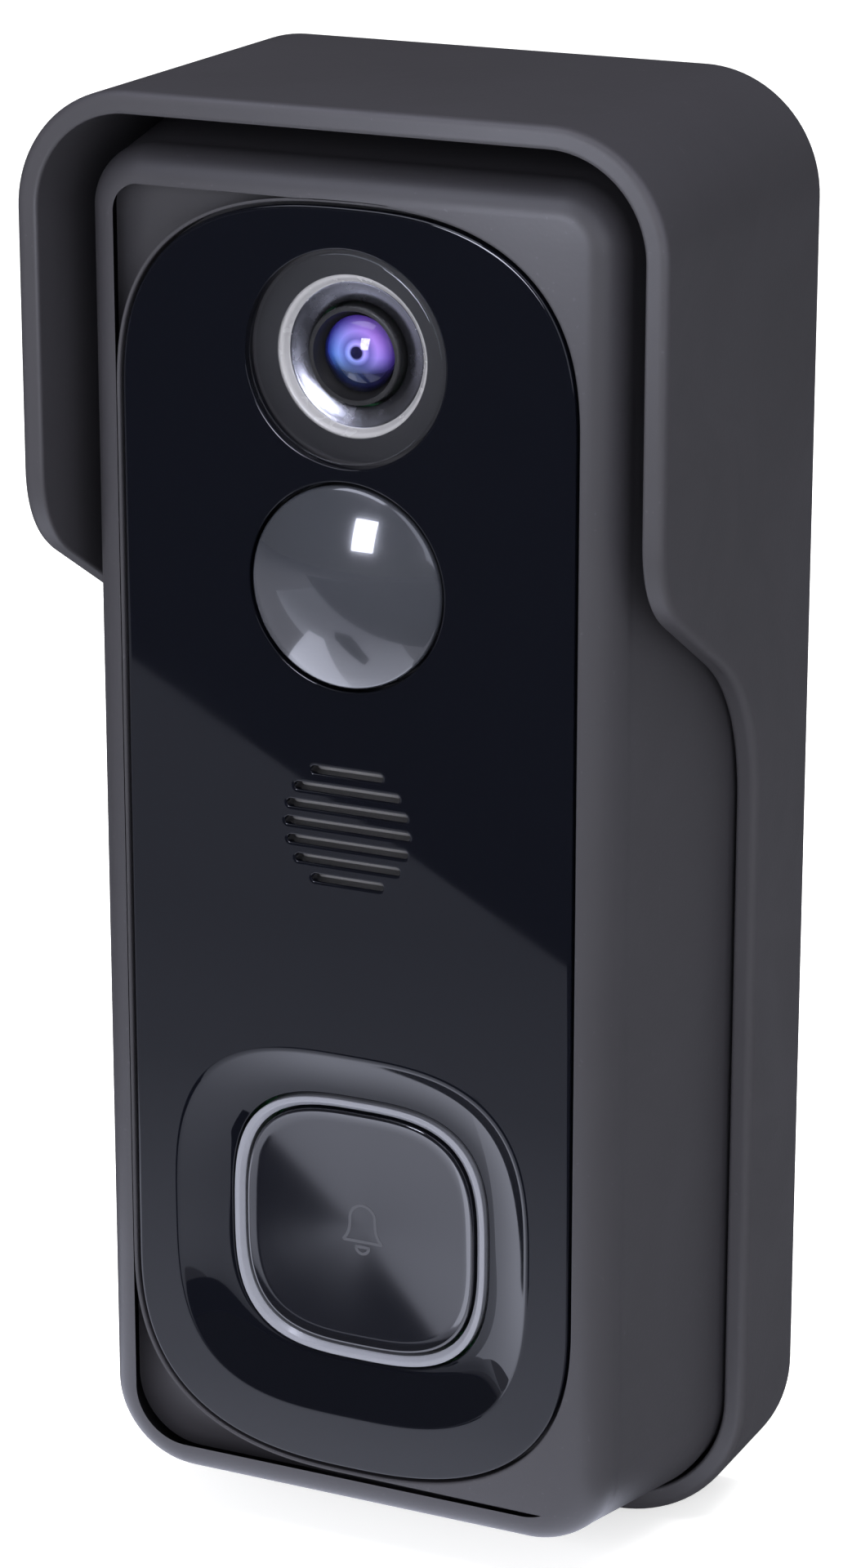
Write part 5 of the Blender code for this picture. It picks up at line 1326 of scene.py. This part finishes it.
def lamp(name, direction, distance, size, energy, target):
    """A square area lamp that points at a target and is left out of the gloss."""
    data = bpy.data.lights.new(name, "AREA")
    data.size = size
    data.energy = energy
    way = Vector(direction).normalized()
    light = bpy.data.objects.new(name, data)
    light.location = Vector(target) + way * distance
    light.rotation_euler = way.to_track_quat("Z", "Y").to_euler()
    light.visible_glossy = False
    bpy.context.scene.collection.objects.link(light)


class DOORBELL_OT_stage(bpy.types.Operator):
    """Pale floor, soft studio light and the camera"""

    bl_idname = "doorbell.stage"
    bl_label = "Stage"

    def execute(self, context):
        scene = context.scene
        sizes = scene.doorbell_studio
        scene.view_settings.view_transform = "Standard"
        self.floor(sizes)
        self.world(scene)
        self.lights()
        self.camera(scene, sizes)
        return {"FINISHED"}

    def floor(self, sizes):
        level = COVER_LOW.z - 0.0004
        mesh = bpy.data.meshes.new("floor")
        reach = 6.0
        signs = ((-1, -1), (1, -1), (1, 1), (-1, 1))
        corners = [(x * reach, y * reach, level) for x, y in signs]
        mesh.from_pydata(corners, [], [[0, 1, 2, 3]])
        ground = bpy.data.objects.new("floor", mesh)
        bpy.context.scene.collection.objects.link(ground)
        material, tree, shader = blank("floor", Roughness=0.9, Specular_IOR_Level=0.0)
        shader.inputs["Base Color"].default_value = opaque(tuple(sizes.floor))
        shader.inputs["Emission Color"].default_value = opaque((1, 1, 1))
        shader.inputs["Emission Strength"].default_value = 0.5
        dim = add(tree, "ShaderNodeBsdfDiffuse", {"Color": opaque((0.12, 0.12, 0.14))})
        path = add(tree, "ShaderNodeLightPath")
        mix = add(
            tree,
            "ShaderNodeMixShader",
            {0: path.outputs["Is Glossy Ray"], 1: shader.outputs[0], 2: dim.outputs[0]},
        )
        tree.links.new(mix.outputs[0], tree.nodes["Material Output"].inputs["Surface"])
        mesh.materials.append(material)

    def world(self, scene):
        """White to the camera and to the light on surfaces, and dim in the gloss."""
        world = bpy.data.worlds.new("studio")
        world.use_nodes = True
        tree = world.node_tree
        path = add(tree, "ShaderNodeLightPath")
        dim = add(tree, "ShaderNodeMapRange", {0: path.outputs["Is Glossy Ray"], 3: 0.50, 4: 0.06})
        background = tree.nodes["Background"]
        background.inputs["Color"].default_value = opaque((1, 1, 1))
        tree.links.new(dim.outputs[0], background.inputs["Strength"])
        scene.world = world

    def lights(self):
        heart = (0, -0.03, 0)
        lamp("top_light", (0.1, -0.25, 1.0), 0.9, 0.7, 19.0, heart)
        lamp("front_light", (-0.10, -1.0, 0.05), 1.0, 0.9, 19.0, heart)
        lamp("right_light", (0.9, -1.0, 0.10), 1.0, 0.6, 9.0, heart)
        dome, eye = (0, -DOME_FRONT, SENSOR_Z), (0, -FRONT, CAMERA_Z)
        facing_card("dome_card", dome, (-0.08, -0.90, 0.45), 0.08, 0.022, 0.030, 16.0)
        facing_card("eye_card_1", eye, (0.77, -0.36, 0.42), 0.07, 0.080, 0.080, 1.0)
        facing_card("eye_card_2", eye, (-0.20, -0.50, 0.84), 0.07, 0.060, 0.045, 2.5)
        floor = COVER_LOW.z
        line = [Vector((-0.1725, -0.3024, 0)), Vector((-0.0473, -0.1967, 0))]
        along = (line[1] - line[0]).normalized()
        beyond = Vector((along.y, -along.x, 0))
        middle_of_line = (line[0] + line[1]) / 2 + Vector((0, 0, floor + 0.002))
        corners = [
            middle_of_line - along * 0.7,
            middle_of_line + along * 0.7,
            middle_of_line + along * 0.7 + beyond * 1.4,
            middle_of_line - along * 0.7 + beyond * 1.4,
        ]
        card("dark_card", [tuple(corner) for corner in corners], 0.06)
        near = [(-0.11, -0.02), (0.035, -0.02), (0.035, -0.45), (-0.30, -0.45)]
        near += [(-0.30, -0.14), (-0.11, -0.10)]
        sweep = card("near_card", [(x, y, floor + 0.0010) for x, y in near], 1.0)
        left = [(-0.11, -0.02), (-0.030, -0.02), (-0.030, -0.036), (-0.0475, -0.068)]
        left += [(-0.066, -0.10), (-0.078, -0.12), (-0.11, -0.12)]
        card("left_card", [(x, y, floor + 0.0014) for x, y in left], 2.2)
        patch = [(-0.019, -0.089), (-0.062, -0.132), (-0.066, -0.150), (-0.0395, -0.150)]
        patch += [(-0.0266, -0.132), (-0.012, -0.100)]
        card("button_card", [(x, y, floor + 0.0016) for x, y in patch], 0.05)
        self.fade(sweep)

    def fade(self, sweep):
        """Makes the near card brightest beside the unit and dimmer towards the front."""
        tree = sweep.data.materials[0].node_tree
        shader = tree.nodes["Principled BSDF"]
        place = add(tree, "ShaderNodeTexCoord").outputs["Object"]
        split = add(tree, "ShaderNodeSeparateXYZ", {0: place})
        run = add(tree, "ShaderNodeMapRange", {0: split.outputs["Y"], 1: -0.20, 2: -0.03})
        stops = ((0.0, 0.48), (0.30, 0.60), (0.78, 1.25), (0.90, 1.7), (1.0, NEAR_GLOW))
        tones = [(at, shaded(CARD_TINT, level / NEAR_GLOW)) for at, level in stops]
        ramp = color_ramp(tree, run.outputs[0], tones)
        tree.links.new(ramp, shader.inputs["Emission Color"])
        shader.inputs["Emission Strength"].default_value = NEAR_GLOW

    def camera(self, scene, sizes):
        azimuth, elevation = sizes.azimuth, sizes.elevation
        level = math.cos(elevation)
        way = Vector(
            (math.sin(azimuth) * level, -math.cos(azimuth) * level, math.sin(elevation))
        )
        right = Vector((math.cos(azimuth), math.sin(azimuth), 0))
        up = way.cross(right)
        aim = Vector((0, -sizes.aim_out, 0)) + right * sizes.aim_across + up * sizes.aim_up
        data = bpy.data.cameras.new("camera")
        data.sensor_fit = "VERTICAL"
        data.sensor_height = 36.0
        data.lens = sizes.lens
        data.clip_start = 0.01
        camera = bpy.data.objects.new("camera", data)
        camera.location = aim + way * sizes.distance
        camera.rotation_euler = way.to_track_quat("Z", "Y").to_euler()
        scene.collection.objects.link(camera)
        scene.camera = camera


SETTINGS = {
    "doorbell_cover": CoverSizes,
    "doorbell_housing": HousingSizes,
    "doorbell_panel": PanelSizes,
    "doorbell_button": ButtonSizes,
    "doorbell_eye": EyeSizes,
    "doorbell_finishes": Finishes,
    "doorbell_studio": Studio,
}

STEPS = (
    DOORBELL_OT_rain_cover,
    DOORBELL_OT_front_housing,
    DOORBELL_OT_front_panel,
    DOORBELL_OT_button,
    DOORBELL_OT_camera,
    DOORBELL_OT_speaker_cloth,
    DOORBELL_OT_sensor,
    DOORBELL_OT_inner_parts,
    DOORBELL_OT_stage,
)


class DOORBELL_PT_sidebar(bpy.types.Panel):
    bl_idname = "DOORBELL_PT_sidebar"
    bl_label = "Video doorbell"
    bl_space_type = "VIEW_3D"
    bl_region_type = "UI"
    bl_category = "Doorbell"

    def draw(self, context):
        for step in STEPS:
            self.layout.operator(step.bl_idname)
        for name in SETTINGS:
            box = self.layout.box()
            settings = getattr(context.scene, name)
            for key in settings.bl_rna.properties.keys():
                if key not in ("rna_type", "name"):
                    box.prop(settings, key)


CLASSES = (*SETTINGS.values(), *STEPS, DOORBELL_PT_sidebar)


def register():
    for each in CLASSES:
        bpy.utils.register_class(each)
    for name, settings in SETTINGS.items():
        setattr(bpy.types.Scene, name, PointerProperty(type=settings))


def unregister():
    for name in SETTINGS:
        delattr(bpy.types.Scene, name)
    for each in reversed(CLASSES):
        bpy.utils.unregister_class(each)


def main():
    register()
    FINISHES.update(make_finishes())
    for step in STEPS:
        group, name = step.bl_idname.split(".")
        getattr(getattr(bpy.ops, group), name)()


if __name__ == "__main__":
    main()
